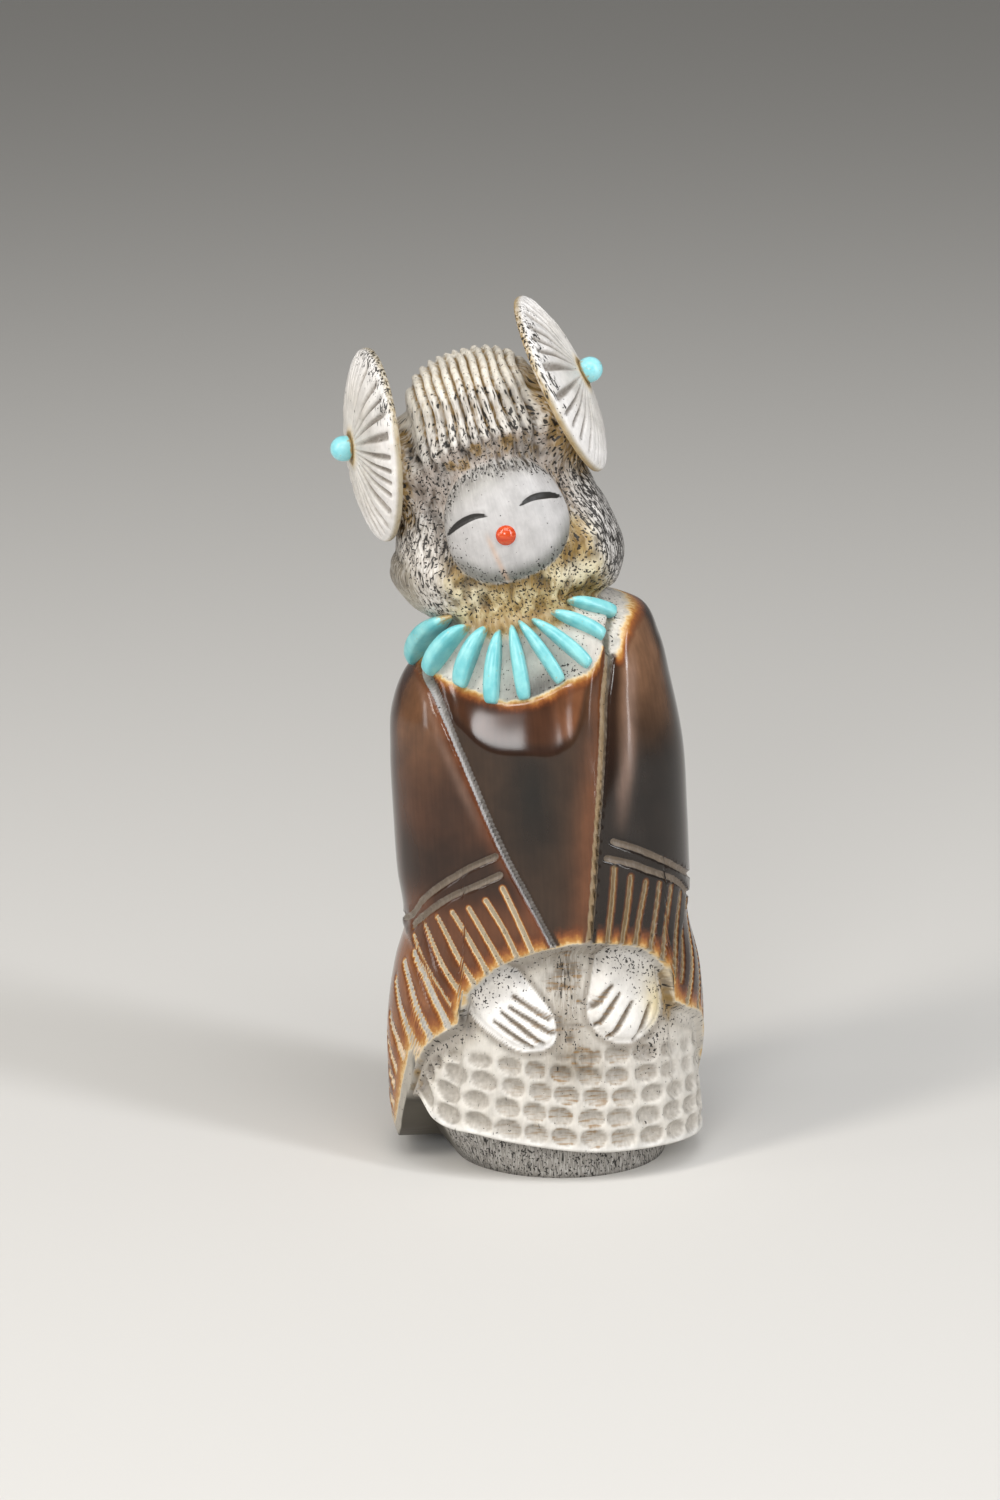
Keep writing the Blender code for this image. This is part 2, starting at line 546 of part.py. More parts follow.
def add_object(name, mesh_maker, finish, cutter=False):
    """Link an object whose mesh mesh_maker fills in, shaded smooth up to 40 degrees."""
    shape = bmesh.new()
    mesh_maker(shape)
    bmesh.ops.recalc_face_normals(shape, faces=shape.faces)
    bmesh.ops.scale(shape, vec=(MM, MM, MM), verts=shape.verts)
    mesh = bpy.data.meshes.new(name)
    shape.to_mesh(mesh)
    shape.free()
    mesh.shade_smooth()
    mesh.set_sharp_from_angle(angle=math.radians(40))
    item = bpy.data.objects.new(name, mesh)
    bpy.context.scene.collection.objects.link(item)
    if cutter:
        item.hide_render = True
        item.display_type = "WIRE"
    else:
        mesh.materials.append(finish)
    return item


def figure_mesh(shape):
    """The figure: rows of points, capped flat below and brought to a point at the crown."""
    rows = carved_column()
    count = rows.shape[1]
    bmesh.ops.create_grid(shape, x_segments=count, y_segments=len(rows) - 1, size=1)
    shape.verts.ensure_lookup_table()
    for k, vert in enumerate(shape.verts):
        row, place = divmod(k, count + 1)
        vert.co = rows[row, place % count]
    seam = [vert for k, vert in enumerate(shape.verts) if k % (count + 1) in (0, count)]
    bmesh.ops.remove_doubles(shape, verts=seam, dist=0.0001)
    borders = [edge for edge in shape.edges if edge.is_boundary]
    low = [edge for edge in borders if edge.verts[0].co.z < 1]
    high = [edge for edge in borders if edge.verts[0].co.z > 50]
    bmesh.ops.contextual_create(shape, geom=low)
    cap = bmesh.ops.contextual_create(shape, geom=high)["faces"]
    bmesh.ops.poke(shape, faces=cap)


def whorl_mesh(side):
    """A maker for one hair disc: flat behind, fluted dome in front, sanded round its rim."""
    middle, normal, up = whorl_frame(side)
    radius = WHORLS[side][3]
    beside = np.cross(up, normal)

    def make(shape):
        spokes = 2 * WHORL_FLUTES
        profile = ((1.0, 0.0), (1.0, WHORL_RIM), (0.93, WHORL_RIM + 0.8), (0.66, 0.72 * WHORL_RISE),
                   (0.34, 0.94 * WHORL_RISE), (0.16, WHORL_RISE))
        rings = []
        for reach, rise in profile:
            ring = []
            for k in range(spokes):
                angle = 2 * math.pi * k / spokes
                flute = FLUTE_DEPTH if k % 2 and 0.3 < reach < 0.99 else 0.0
                place = middle + radius * reach * (math.cos(angle) * beside + math.sin(angle) * up)
                ring.append(shape.verts.new(place + (rise - flute) * normal))
            rings.append(ring)
        for low, high in zip(rings, rings[1:]):
            for k in range(spokes):
                following = (k + 1) % spokes
                shape.faces.new((low[k], low[following], high[following], high[k]))
        shape.faces.new(rings[0])
        shape.faces.new(rings[-1])

    return make


def bead_mesh(side):
    """A maker for one bead on a short post that stands in a hole in its disc."""
    middle, normal, _ = whorl_frame(side)
    base = middle + (WHORL_RISE - 0.5) * normal

    def make(shape):
        turn = Vector((0, 0, 1)).rotation_difference(Vector(normal)).to_matrix().to_4x4()
        place = Matrix.Translation(base) @ turn
        low, high = BEAD_BARREL
        points = [(0.0, 0.0), (POST_RADIUS, 0.0), (POST_RADIUS, low - 0.5), (0.9 * BEAD_RADIUS, low - 0.2)]
        points.append((BEAD_RADIUS, low))
        for k in range(4):
            angle = math.pi / 2 * k / 3
            points.append((BEAD_RADIUS * math.cos(angle), high + BEAD_RADIUS * math.sin(angle)))
        verts = [shape.verts.new((x, 0, z)) for x, z in points]
        edges = [shape.edges.new(pair) for pair in zip(verts, verts[1:])]
        bmesh.ops.spin(shape, geom=verts + edges, angle=2 * math.pi, steps=9,
                       axis=(0, 0, 1), cent=(0, 0, 0))
        bmesh.ops.remove_doubles(shape, verts=shape.verts, dist=0.001)
        bmesh.ops.transform(shape, matrix=place, verts=shape.verts)

    return make


def drill_mesh(middle, normal, radius, depth):
    """A maker for a short drill that cuts a round hole."""
    def make(shape):
        turn = Vector((0, 0, 1)).rotation_difference(Vector(normal)).to_matrix().to_4x4()
        bmesh.ops.create_cone(shape, cap_ends=True, segments=12, radius1=radius, radius2=radius,
                              depth=depth, matrix=Matrix.Translation(middle) @ turn)
    return make


def surface_place(azimuth, height):
    """A point on the carved large forms and the way out of the solid there."""
    azimuths = azimuth + np.array([[-1.5, 0, 1.5]] * 3)
    heights = height + np.array([[-0.6] * 3, [0] * 3, [0.6] * 3])
    skin = column(azimuths, heights)
    ring = RING_CURVE(heights)
    spine = np.stack([ring[..., 0], 0 * heights, heights], axis=-1)
    toward = (spine - skin) / np.linalg.norm(spine - skin, axis=-1, keepdims=True)
    points = skin + form_depth(azimuths, heights, skin)[..., None] * toward
    out = np.cross(points[1, 2] - points[1, 0], points[2, 1] - points[0, 1])
    return points[1, 1], out / np.linalg.norm(out)


def tab_mesh(tab, grow):
    """A maker for one necklace tab: a crescent fin on edge, sunk in the chest."""
    (top, top_out), (end, end_out) = (surface_place(*place) for place in tab[:2])

    def make(shape):
        along = end - top
        length = np.linalg.norm(along)
        along = along / length
        out = top_out + end_out
        out = out - (out @ along) * along
        out = out / np.linalg.norm(out)
        thick = np.cross(along, out)
        half = tab[2] / 2 + grow
        outline = []
        for k in range(9):
            angle = math.pi * k / 8
            reach = (length / 2 + 0.5 + grow) * (0.05 - math.cos(angle))
            rise = (TAB_PROUD + 0.5 + grow) * math.sin(angle) ** 0.6 - 0.4
            outline.append((reach, rise))
        outline += [(0.3 * length, -TAB_SUNK - grow), (-0.3 * length, -TAB_SUNK - grow)]
        verts = [shape.verts.new((reach, -half, rise)) for reach, rise in outline]
        face = shape.faces.new(verts)
        grown = bmesh.ops.extrude_face_region(shape, geom=[face])["geom"]
        moved = [item for item in grown if isinstance(item, bmesh.types.BMVert)]
        bmesh.ops.translate(shape, vec=(0, 2 * half, 0), verts=moved)
        if not grow:
            ridge = [edge for edge in shape.edges
                     if abs(edge.verts[0].co.y - edge.verts[1].co.y) < 0.001
                     and max(vert.co.z for vert in edge.verts) > 0]
            bmesh.ops.bevel(shape, geom=ridge, offset=0.35, segments=1, affect="EDGES",
                            clamp_overlap=True)
        for vert in shape.verts:
            share = min(max(vert.co.x / length + 0.5, 0.0), 1.0)
            side = math.copysign(1.0, vert.co.y)
            plain = abs(vert.co.y) - grow
            vert.co.y = side * (plain * (TAB_TAPER + (1 - TAB_TAPER) * share) + grow)
        frame = Matrix(np.column_stack([along, thick, out]).tolist()).to_4x4()
        centre = (top + end) / 2
        bmesh.ops.transform(shape, matrix=Matrix.Translation(centre) @ frame, verts=shape.verts)

    return make


def mouth_place():
    """Middle of the coral dot on the face, and the way out of the face there."""
    middle, right, up = head_frame()
    out = np.cross(right, up)
    return middle + MOUTH[0] * right + MOUTH[1] * up - (FACE_MIDDLE + 0.1) * out, out


def mouth_mesh(shape):
    """The coral dot: a round bead set half in the face."""
    middle, out = mouth_place()
    bmesh.ops.create_uvsphere(shape, u_segments=9, v_segments=5, radius=MOUTH_RADIUS,
                              matrix=Matrix.Translation(middle - 0.3 * out))


def cut(target, cutter):
    """Cut one object out of another."""
    step = target.modifiers.new(cutter.name, "BOOLEAN")
    step.operation = "DIFFERENCE"
    step.solver = "EXACT"
    step.object = cutter


def build():
    """Make every piece."""
    for old in list(bpy.data.objects):
        bpy.data.objects.remove(old)
    finish = {name: material(name, *look) for name, look in COLOURS.items()}
    figure = add_object("antler_figure", figure_mesh, finish["antler_figure"])
    thin = figure.modifiers.new("thin", "DECIMATE")
    thin.ratio = FIGURE_TRIANGLES / (2 * len(figure.data.polygons))
    for number, tab in enumerate(TABS, 1):
        add_object(f"necklace_tab_{number}", tab_mesh(tab, 0.0), finish["turquoise"])
        cut(figure, add_object(f"slot_{number}", tab_mesh(tab, GAP), None, cutter=True))
    middle, out = mouth_place()
    add_object("coral_mouth", mouth_mesh, finish["coral"])
    socket = drill_mesh(middle, out, MOUTH_RADIUS + GAP, 2 * MOUTH_RADIUS + 1.4)
    cut(figure, add_object("mouth_socket", socket, None, cutter=True))
    for side in WHORLS:
        whorl = add_object(f"hair_whorl_{side}", whorl_mesh(side), finish["whorl"])
        add_object(f"whorl_bead_{side}", bead_mesh(side), finish["turquoise"])
        place, normal, _ = whorl_frame(side)
        hole = drill_mesh(place + WHORL_RISE * normal, normal, POST_RADIUS + GAP, 1.6)
        cut(whorl, add_object(f"bead_hole_{side}", hole, None, cutter=True))


build()
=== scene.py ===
"""Looks of a small corn maiden carved from one piece of antler.

The figure stands on z = 0 and faces -Y. It is an oval column of antler, and every form on
it is a depth cut in from the column's skin, so each sub-assembly below is a carver's step:
it takes depth away from the same rows of points, and says where the polished bark is cut
through, how the cut antler is coloured and where its pores show.

Sizes are in millimetres until a mesh is made. An azimuth is in degrees round the column,
0 at the front and positive towards +X. A height is the height on the column's spine.
"""

from __future__ import annotations

import logging
from collections.abc import Sequence
from dataclasses import dataclass, field
from enum import Enum
from itertools import chain, pairwise, product
from math import cos, pi, radians, sin
from typing import Any

import bpy
import numpy as np
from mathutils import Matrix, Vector

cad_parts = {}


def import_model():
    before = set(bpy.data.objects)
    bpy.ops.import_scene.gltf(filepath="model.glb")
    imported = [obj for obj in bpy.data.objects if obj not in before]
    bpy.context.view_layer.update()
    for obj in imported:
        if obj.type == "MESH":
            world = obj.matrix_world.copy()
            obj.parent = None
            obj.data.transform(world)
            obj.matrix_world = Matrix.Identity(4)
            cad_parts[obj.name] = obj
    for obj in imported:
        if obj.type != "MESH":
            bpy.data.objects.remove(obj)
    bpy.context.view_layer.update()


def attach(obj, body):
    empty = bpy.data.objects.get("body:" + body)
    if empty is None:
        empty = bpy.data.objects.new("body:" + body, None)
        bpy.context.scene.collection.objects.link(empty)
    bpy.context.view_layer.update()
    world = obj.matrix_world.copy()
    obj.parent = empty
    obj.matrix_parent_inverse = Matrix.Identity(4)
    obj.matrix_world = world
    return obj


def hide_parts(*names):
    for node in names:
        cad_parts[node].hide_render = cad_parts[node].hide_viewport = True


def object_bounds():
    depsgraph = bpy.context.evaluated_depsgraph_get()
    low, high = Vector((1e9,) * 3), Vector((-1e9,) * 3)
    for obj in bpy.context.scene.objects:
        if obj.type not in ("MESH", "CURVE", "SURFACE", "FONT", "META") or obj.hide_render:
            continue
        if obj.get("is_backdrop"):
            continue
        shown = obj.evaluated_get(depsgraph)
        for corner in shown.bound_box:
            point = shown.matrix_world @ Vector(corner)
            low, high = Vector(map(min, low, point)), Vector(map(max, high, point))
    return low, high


LOG = logging.getLogger("corn_maiden")
MM = 0.001
# In millimetres: out of every tool's reach, and so far from a cut that the bark is whole.
FAR = 99.0
UNCUT = -9.0
# Metres within which two points are one.
TOUCH = 0.00001
Array = np.ndarray
Point = tuple[float, ...]
Path = Sequence[Point]
Piece = bpy.types.Object
Finish = bpy.types.Material
Socket = bpy.types.NodeSocket


class Side(Enum):
    """A side of the figure, as the sign of x."""

    LEFT = -1
    RIGHT = 1


class Coat(Enum):
    """Which colour of the antler is painted."""

    BARK = "bark"
    CORE = "core"


def linear(colour: str) -> tuple[float, float, float, float]:
    """Turn an sRGB hex colour into linear red, green and blue, with full alpha.

    Args:
        colour: six hex digits after a #.

    Returns:
        Four values from 0 to 1.
    """
    parts = [int(colour[place : place + 2], 16) / 255 for place in (1, 3, 5)]
    values = [part / 12.92 if part < 0.0405 else ((part + 0.055) / 1.055) ** 2.4 for part in parts]
    return (values[0], values[1], values[2], 1.0)


def ease(value: Array | float, start: float, end: float) -> Array:
    """Rise smoothly from 0 at start to 1 at end.

    Args:
        value: what is compared with start and end.
        start: where the rise begins.
        end: where it is complete.

    Returns:
        Values from 0 to 1.
    """
    share = np.clip((np.asarray(value, dtype=float) - start) / (end - start), 0.0, 1.0)
    return share * share * (3 - 2 * share)


def band(value: Array, start: float, end: float, soft: float) -> Array:
    """1 between start and end, 0 outside, with soft borders that wide."""
    return ease(value, start - soft / 2, start + soft / 2) * ease(-value, -end - soft / 2, -end + soft / 2)


def hump(value: Array, middle: float, reach: float) -> Array:
    """1 at the middle, about a third at that reach on either side, 0 far away."""
    return np.exp(-(((value - middle) / reach) ** 2))


def tinted(under: Array, colour: str, share: Array | float) -> Array:
    """Lay a colour over others.

    Args:
        under: rows of linear red, green and blue.
        colour: sRGB hex.
        share: how much of it covers each row.

    Returns:
        The new rows.
    """
    cover = np.clip(np.broadcast_to(share, under.shape[:-1]), 0.0, 1.0)[..., None]
    return under + (np.array(linear(colour)[:3]) - under) * cover


def unit(vectors: Array) -> Array:
    """The same vectors with length 1."""
    return vectors / np.maximum(np.linalg.norm(vectors, axis=-1, keepdims=True), 1e-9)


class Curve:
    """A smooth curve through a few (position, value, ...) points."""

    def __init__(self, points: Path) -> None:
        """Keep the points and their slopes.

        Args:
            points: rows of a position and one or more values, in order of position.
        """
        table = np.array(points, dtype=float)
        self.at = table[:, 0]
        self.value = table[:, 1:]
        self.slope = np.gradient(self.value, self.at, axis=0)

    def __call__(self, position: Array | float) -> Array:
        """Values at the given positions, level beyond the ends.

        Args:
            position: where the curve is read.

        Returns:
            One value for each position, or a row of them.
        """
        position = np.asarray(position, dtype=float)
        i = np.clip(np.searchsorted(self.at, position) - 1, 0, len(self.at) - 2)
        span = self.at[i + 1] - self.at[i]
        t = np.clip((position - self.at[i]) / span, 0.0, 1.0)[..., None]
        span = span[..., None]
        start = (1 + 2 * t) * (1 - t) ** 2 * self.value[i] + t * (1 - t) ** 2 * span * self.slope[i]
        end = t * t * (3 - 2 * t) * self.value[i + 1] + t * t * (t - 1) * span * self.slope[i + 1]
        result = start + end
        return result[..., 0] if result.shape[-1] == 1 else result


@dataclass(frozen=True)
class Ripple:
    """A smooth random field in space, the same in every run.

    Attributes:
        size: millimetres between its random values.
        seed: which field it is.
    """

    size: float
    seed: int

    def at(self, points: Array) -> Array:
        """Values of the field from -1 to 1.

        Args:
            points: places in millimetres.

        Returns:
            One value for each place.
        """
        side = 48
        table = np.random.default_rng(self.seed).uniform(-1, 1, (side, side, side))
        place = points / self.size + 1000.0
        base = np.floor(place).astype(int)
        share = place - base
        share = share * share * (3 - 2 * share)
        result = np.zeros(points.shape[:-1])
        for corner in product((0, 1), repeat=3):
            weight = np.prod(np.where(corner, share, 1 - share), axis=-1)
            i, j, k = np.moveaxis((base + corner) % side, -1, 0)
            result += weight * table[i, j, k]
        return result


# ---- meshes


def deselect_all() -> None:
    """Leave no object selected, neither a loaded node nor the last piece."""
    bpy.ops.object.select_all(action="DESELECT")


def choose(piece: Piece, verts: Array, mode: str = "VERT") -> None:
    """Enter edit mode on a piece with only some of its points selected.

    Args:
        piece: the active mesh object.
        verts: one truth value for each vertex.
        mode: what edit mode selects, VERT, EDGE or FACE.
    """
    bpy.ops.object.mode_set(mode="EDIT")
    bpy.ops.mesh.select_mode(type=mode)
    bpy.ops.mesh.select_all(action="DESELECT")
    bpy.ops.object.mode_set(mode="OBJECT")
    mesh = piece.data
    mesh.vertices.foreach_set("select", verts)
    ends = np.empty(2 * len(mesh.edges), dtype=np.int64)
    mesh.edges.foreach_get("vertices", ends)
    mesh.edges.foreach_set("select", verts[ends.reshape(-1, 2)].all(axis=1))
    bpy.ops.object.mode_set(mode="EDIT")


def points_of(piece: Piece) -> Array:
    """The places of a piece's vertices, one row each.

    Args:
        piece: the mesh object.

    Returns:
        Rows of x, y and z in metres.
    """
    places = np.empty(3 * len(piece.data.vertices))
    piece.data.vertices.foreach_get("co", places)
    return places.reshape(-1, 3)


def move_points(piece: Piece, places: Array) -> None:
    """Put a piece's vertices at new places."""
    piece.data.vertices.foreach_set("co", np.ascontiguousarray(places).ravel())
    piece.data.update()


def note(piece: Piece, name: str, values: Array) -> None:
    """Keep a value, a direction or a colour at each vertex, for the piece's material.

    Args:
        piece: the mesh object.
        name: the attribute's name.
        values: one number, or a row of three, for each vertex.
    """
    values = np.asarray(values, dtype=np.float32)
    if values.ndim == 1:
        kept = piece.data.attributes.new(name, "FLOAT", "POINT")
        kept.data.foreach_set("value", values)
        return
    kept = piece.data.attributes.new(name, "FLOAT_VECTOR", "POINT")
    kept.data.foreach_set("vector", np.ascontiguousarray(values).ravel())


def settle(piece: Piece, finish: Finish, node: str) -> None:
    """Dress a finished piece and let it stand for its solid in the frame.

    Args:
        piece: the mesh object, with its place in its mesh.
        finish: its material.
        node: the solid that it stands for.
    """
    bpy.ops.object.mode_set(mode="EDIT")
    bpy.ops.mesh.select_all(action="SELECT")
    bpy.ops.mesh.normals_make_consistent(inside=False)
    bpy.ops.object.mode_set(mode="OBJECT")
    bpy.ops.object.shade_smooth()
    piece.data.materials.clear()
    piece.data.materials.append(finish)
    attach(piece, "root")
    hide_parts(node)
    triangles = sum(len(face.vertices) - 2 for face in piece.data.polygons)
    LOG.info("%s: %d points, %d triangles", piece.name, len(piece.data.vertices), triangles)


def turned_piece(name: str, profile: Path, segments: int) -> Piece:
    """Turn a closed shape from the profile of half its section.

    Args:
        name: the piece's name.
        profile: (radius, height) pairs in millimetres from the edge of its back to its tip.
        segments: faces round the shape.

    Returns:
        The mesh object, on the Z axis.
    """
    deselect_all()
    radius, height = profile[0]
    bpy.ops.mesh.primitive_circle_add(vertices=segments, radius=radius * MM, fill_type="NGON",
                                      location=(0, 0, height * MM))
    piece = bpy.context.object
    piece.name = name
    bpy.ops.object.transform_apply(location=True)
    bpy.ops.object.mode_set(mode="EDIT")
    bpy.ops.mesh.select_mode(type="EDGE")
    bpy.ops.mesh.select_all(action="SELECT")
    for (low, start), (high, end) in pairwise(profile):
        bpy.ops.mesh.extrude_edges_move(TRANSFORM_OT_translate={"value": (0, 0, (end - start) * MM)})
        size = max(high, 0.001) / max(low, 0.001)
        bpy.ops.transform.resize(value=(size, size, 1.0))
    bpy.ops.mesh.merge(type="CENTER")
    bpy.ops.object.mode_set(mode="OBJECT")
    return piece


# ---- the column


@dataclass(frozen=True)
class Column:
    """The uncarved column of antler.

    Attributes:
        rings: height, spine x, sideways lean, then reach to the left, right, front and back.
        roundness: power of each ring's superellipse.
        crown_start: height at which the crown closes in.
        crown_rise: how far the crown rises above that.
        crown_power: how blunt the crown is.
    """

    rings: Path = (
        (0, 0, 0, 20.4, 21.1, 17.4, 16.4),
        (4, 0, 0, 21.8, 21.9, 18, 16.8),
        (12, 0, 0, 22.5, 22.2, 18, 17),
        (19, 0, 0, 22.5, 22.3, 17.6, 16.8),
        (27, 0, 0, 21.4, 21.6, 16.9, 16.2),
        (33.5, 0, 0, 19.7, 20, 16.5, 15.6),
        (40, -0.1, 0, 20.4, 19.7, 16.3, 15.4),
        (48, -0.6, 1, 20.4, 19.8, 16, 15.2),
        (58, -1.2, 3, 20.2, 19.6, 15.6, 15),
        (65, -1.8, 6, 19.4, 18.6, 15.2, 14.4),
        (70, -2.2, 9, 17.6, 17.6, 14.4, 13.6),
        (74, -2.8, 11, 14.4, 16, 12.8, 12.2),
        (77, -3.6, 9.5, 13, 12.4, 11.4, 10.4),
        (79.5, -4.3, 6.5, 14.9, 14, 12.6, 11),
        (82.5, -4.9, 7, 16.3, 15.4, 13.6, 12.2),
        (88, -6, 11, 14.8, 14.4, 13.8, 12.6),
        (94, -7.6, 14, 12.8, 12.4, 13, 12.2),
        (100, -9.2, 15, 10.6, 10.6, 11.6, 11.2),
        (104.5, -10.4, 15, 8.6, 9.2, 10.2, 10),
    )
    roundness: float = 2.25
    crown_start: float = 104.5
    crown_rise: float = 7.0
    crown_power: float = 0.8

    def share(self, height: Array) -> Array:
        """How far up the crown a height is, from 0 to 1."""
        return np.clip((height - self.crown_start) / self.crown_rise, 0.0, 1.0)

    def reach(self, azimuth: Array, height: Array) -> Array:
        """Distance of the skin from the spine, in the ring's own plane.

        Args:
            azimuth: degrees round the column.
            height: heights on the spine.

        Returns:
            Millimetres.
        """
        ring = Curve(self.rings)(np.minimum(height, self.crown_start))
        _, _, left, right, front, back = np.moveaxis(ring, -1, 0)
        across, along = np.sin(np.radians(azimuth)), np.cos(np.radians(azimuth))
        beside = np.abs(across / np.where(across < 0, left, right))
        ahead = np.abs(along / np.where(along > 0, front, back))
        power = (beside**self.roundness + ahead**self.roundness) ** (-1 / self.roundness)
        closing = np.arcsin(self.share(height) ** (1 / self.crown_power))
        return power * np.cos(closing) ** self.crown_power

    def spine(self, height: Array) -> Array:
        """Points of the spine at the given heights.

        Args:
            height: heights on the spine.

        Returns:
            One point for each height.
        """
        level = np.minimum(height, self.crown_start)
        ring = Curve(self.rings)(level)
        return np.stack([ring[..., 0], 0 * level, level], axis=-1)

    def place(self, azimuth: Array | float, height: Array | float) -> Array:
        """Points on the skin.

        Args:
            azimuth: degrees round the column.
            height: heights on the spine.

        Returns:
            One point for each pair.
        """
        azimuth, height = np.broadcast_arrays(np.asarray(azimuth, float), np.asarray(height, float))
        spine = self.spine(height)
        lean = np.radians(Curve(self.rings)(spine[..., 2])[..., 1])
        rise = self.crown_rise * self.share(height)
        radius = self.reach(azimuth, height)
        across = radius * np.sin(np.radians(azimuth))
        x = spine[..., 0] + across * np.cos(lean) - rise * np.sin(lean)
        z = spine[..., 2] + across * np.sin(lean) + rise * np.cos(lean)
        return np.stack([x, -radius * np.cos(np.radians(azimuth)), z], axis=-1)

    def grain(self, azimuth: Array, height: Array) -> Array:
        """The skin's points as if the column stood straight, so that +Z is along the fibres.

        Args:
            azimuth: degrees round the column.
            height: heights on the spine.

        Returns:
            One point for each pair.
        """
        radius = self.reach(azimuth, height)
        turn = np.radians(azimuth)
        return np.stack([radius * np.sin(turn), -radius * np.cos(turn), height], axis=-1)


@dataclass(frozen=True)
class Gouge:
    """A tool's cut.

    Attributes:
        width: across the cut.
        depth: down to its floor.
        flat: share of the width that is flat floor.
        stain: how fast the bark's colours pass at its borders, larger for a wider border.
        ragged: how far its borders wander.
        steep: how little of the warm border shows, 1 where the cut is too steep for any.
    """

    width: float
    depth: float
    flat: float = 0.0
    stain: float = 0.2
    ragged: float = 0.06
    steep: float = 0.0


@dataclass
class Surface:
    """The column's skin as rows of points, and what the carver did at each of them.

    Attributes:
        column: the uncarved column.
        azimuth: degrees round the column.
        height: heights on the spine.
        skin: the points before any cut.
        form: millimetres cut away for the large forms.
        fine: millimetres cut away after that.
        rind: how far inside a cut through the bark, negative on the bark.
        hollow: how dark a hollow is, partly dust and partly painted shade, from 0 to 1.
        pits: how many round pores show, from 0 to 1.
        dashes: how many long pores show.
        amber: how much golden glue and marrow shows.
        streak: where growth lines show in the hollows.
        cool: where the bark's warm border is left out.
        slit: millimetres inside a closed eye's slit.
        colour: the bark's colour and the cut antler's.
    """

    column: Column
    azimuth: Array
    height: Array
    skin: Array = field(init=False)
    form: Array = field(init=False)
    fine: Array = field(init=False)
    rind: Array = field(init=False)
    hollow: Array = field(init=False)
    pits: Array = field(init=False)
    dashes: Array = field(init=False)
    amber: Array = field(init=False)
    streak: Array = field(init=False)
    cool: Array = field(init=False)
    slit: Array = field(init=False)
    colour: dict[Coat, Array] = field(init=False)

    def __post_init__(self) -> None:
        """Start with the uncarved, unpainted column."""
        shape = self.azimuth.shape
        self.skin = self.column.place(self.azimuth, self.height)
        self.form, self.fine, self.hollow = np.zeros(shape), np.zeros(shape), np.zeros(shape)
        self.amber, self.streak, self.cool = np.zeros(shape), np.zeros(shape), np.zeros(shape)
        self.pits, self.dashes = np.full(shape, 0.15), np.full(shape, 0.1)
        self.rind, self.slit = np.full(shape, UNCUT), np.full(shape, UNCUT)
        self.colour = {coat: np.zeros((*shape, 3)) for coat in Coat}

    def paint(self, coat: Coat, colour: str, share: Array | float = 1.0) -> None:
        """Lay a colour over the bark or the cut antler, where share is 1."""
        self.colour[coat] = tinted(self.colour[coat], colour, share)

    def patch(self, azimuth: float, height: float, degrees: float, tall: float) -> Array:
        """A soft round patch with its middle and its half-size, 1 at its middle."""
        return hump(self.azimuth, azimuth, degrees) * hump(self.height, height, tall)

    def dress(self, share: Array | float, colour: str = "", pits: float | None = None,
              dashes: float | None = None, amber: float | None = None) -> None:
        """Say how the cut antler looks, where share is 1.

        Args:
            share: how much of each point is covered.
            colour: sRGB hex, left out to keep the colour.
            pits: how many round pores show, from 0 to 1.
            dashes: how many long pores show along the fibres.
            amber: how much golden glue and marrow shows.
        """
        if colour:
            self.paint(Coat.CORE, colour, share)
        for values, density in ((self.pits, pits), (self.dashes, dashes), (self.amber, amber)):
            if density is not None:
                values += (density - values) * np.clip(share, 0.0, 1.0)

    def deepen(self, share: Array) -> None:
        """Darken the antler as in a hollow, where share is 1."""
        # Partly dust and partly painted shade.
        self.hollow = np.maximum(self.hollow, share)

    def bare(self, inside: Array, stain: float) -> None:
        """Cut through the bark.

        Args:
            inside: millimetres inside the cut's edge, negative on the bark.
            stain: how far the warm border spreads over the bark.
        """
        self.rind = np.maximum(self.rind, inside / np.where(inside > 0, min(stain, 0.8), stain))

    def trace(self, path: Path, steps: int = 8) -> Array:
        """Points along a smooth path of (azimuth, height) points on the skin.

        Args:
            path: the path's points.
            steps: how many steps lead from each to the next.

        Returns:
            One row for each step.
        """
        places = Curve([(number, *point) for number, point in enumerate(path)])
        along = places(np.linspace(0, len(path) - 1, steps * (len(path) - 1) + 1))
        return self.column.place(along[:, 0], along[:, 1])

    def distance(self, line: Array, reach: float, points: Array | None = None) -> Array:
        """Distance of every point from a chain of points, where it is within reach.

        Args:
            line: the chain.
            reach: how far off it matters.
            points: what is measured, the skin if it isn't given.

        Returns:
            Millimetres, large beyond reach.
        """
        points = self.skin if points is None else points
        near = np.all((points > line.min(0) - reach) & (points < line.max(0) + reach), axis=-1)
        result = np.full(near.shape, FAR)
        close = points[near]
        nearest = np.full(len(close), FAR)
        for start, end in pairwise(line):
            span = end - start
            share = np.clip((close - start) @ span / (span @ span), 0, 1)
            nearest = np.minimum(nearest, np.linalg.norm(close - start - share[:, None] * span, axis=1))
        result[near] = nearest
        return result

    def groove(self, path: Path, gouge: Gouge, where: Array | float = 1.0) -> Array:
        """Cut a groove along a path.

        Args:
            path: (azimuth, height) points.
            gouge: the tool.
            where: 1 where the tool cuts.

        Returns:
            Millimetres inside the groove's edge, negative outside.
        """
        half = gouge.width / 2
        far = self.distance(self.trace(path), half + 1.6 * gouge.stain + 0.3)
        inside = half - far + gouge.ragged * Ripple(0.7, 5).at(self.skin)
        share = np.clip(inside / (half * (1 - gouge.flat)), 0.0, 1.0)
        self.fine = np.maximum(self.fine, gouge.depth * (1 - (1 - share) ** 2) * where)
        self.bare(np.where(np.broadcast_to(where, inside.shape) > 0.5, inside, UNCUT), gouge.stain)
        self.cool = np.maximum(self.cool, gouge.steep * ease(inside, -0.55, -0.3) * where)
        return inside


# ---- the robe


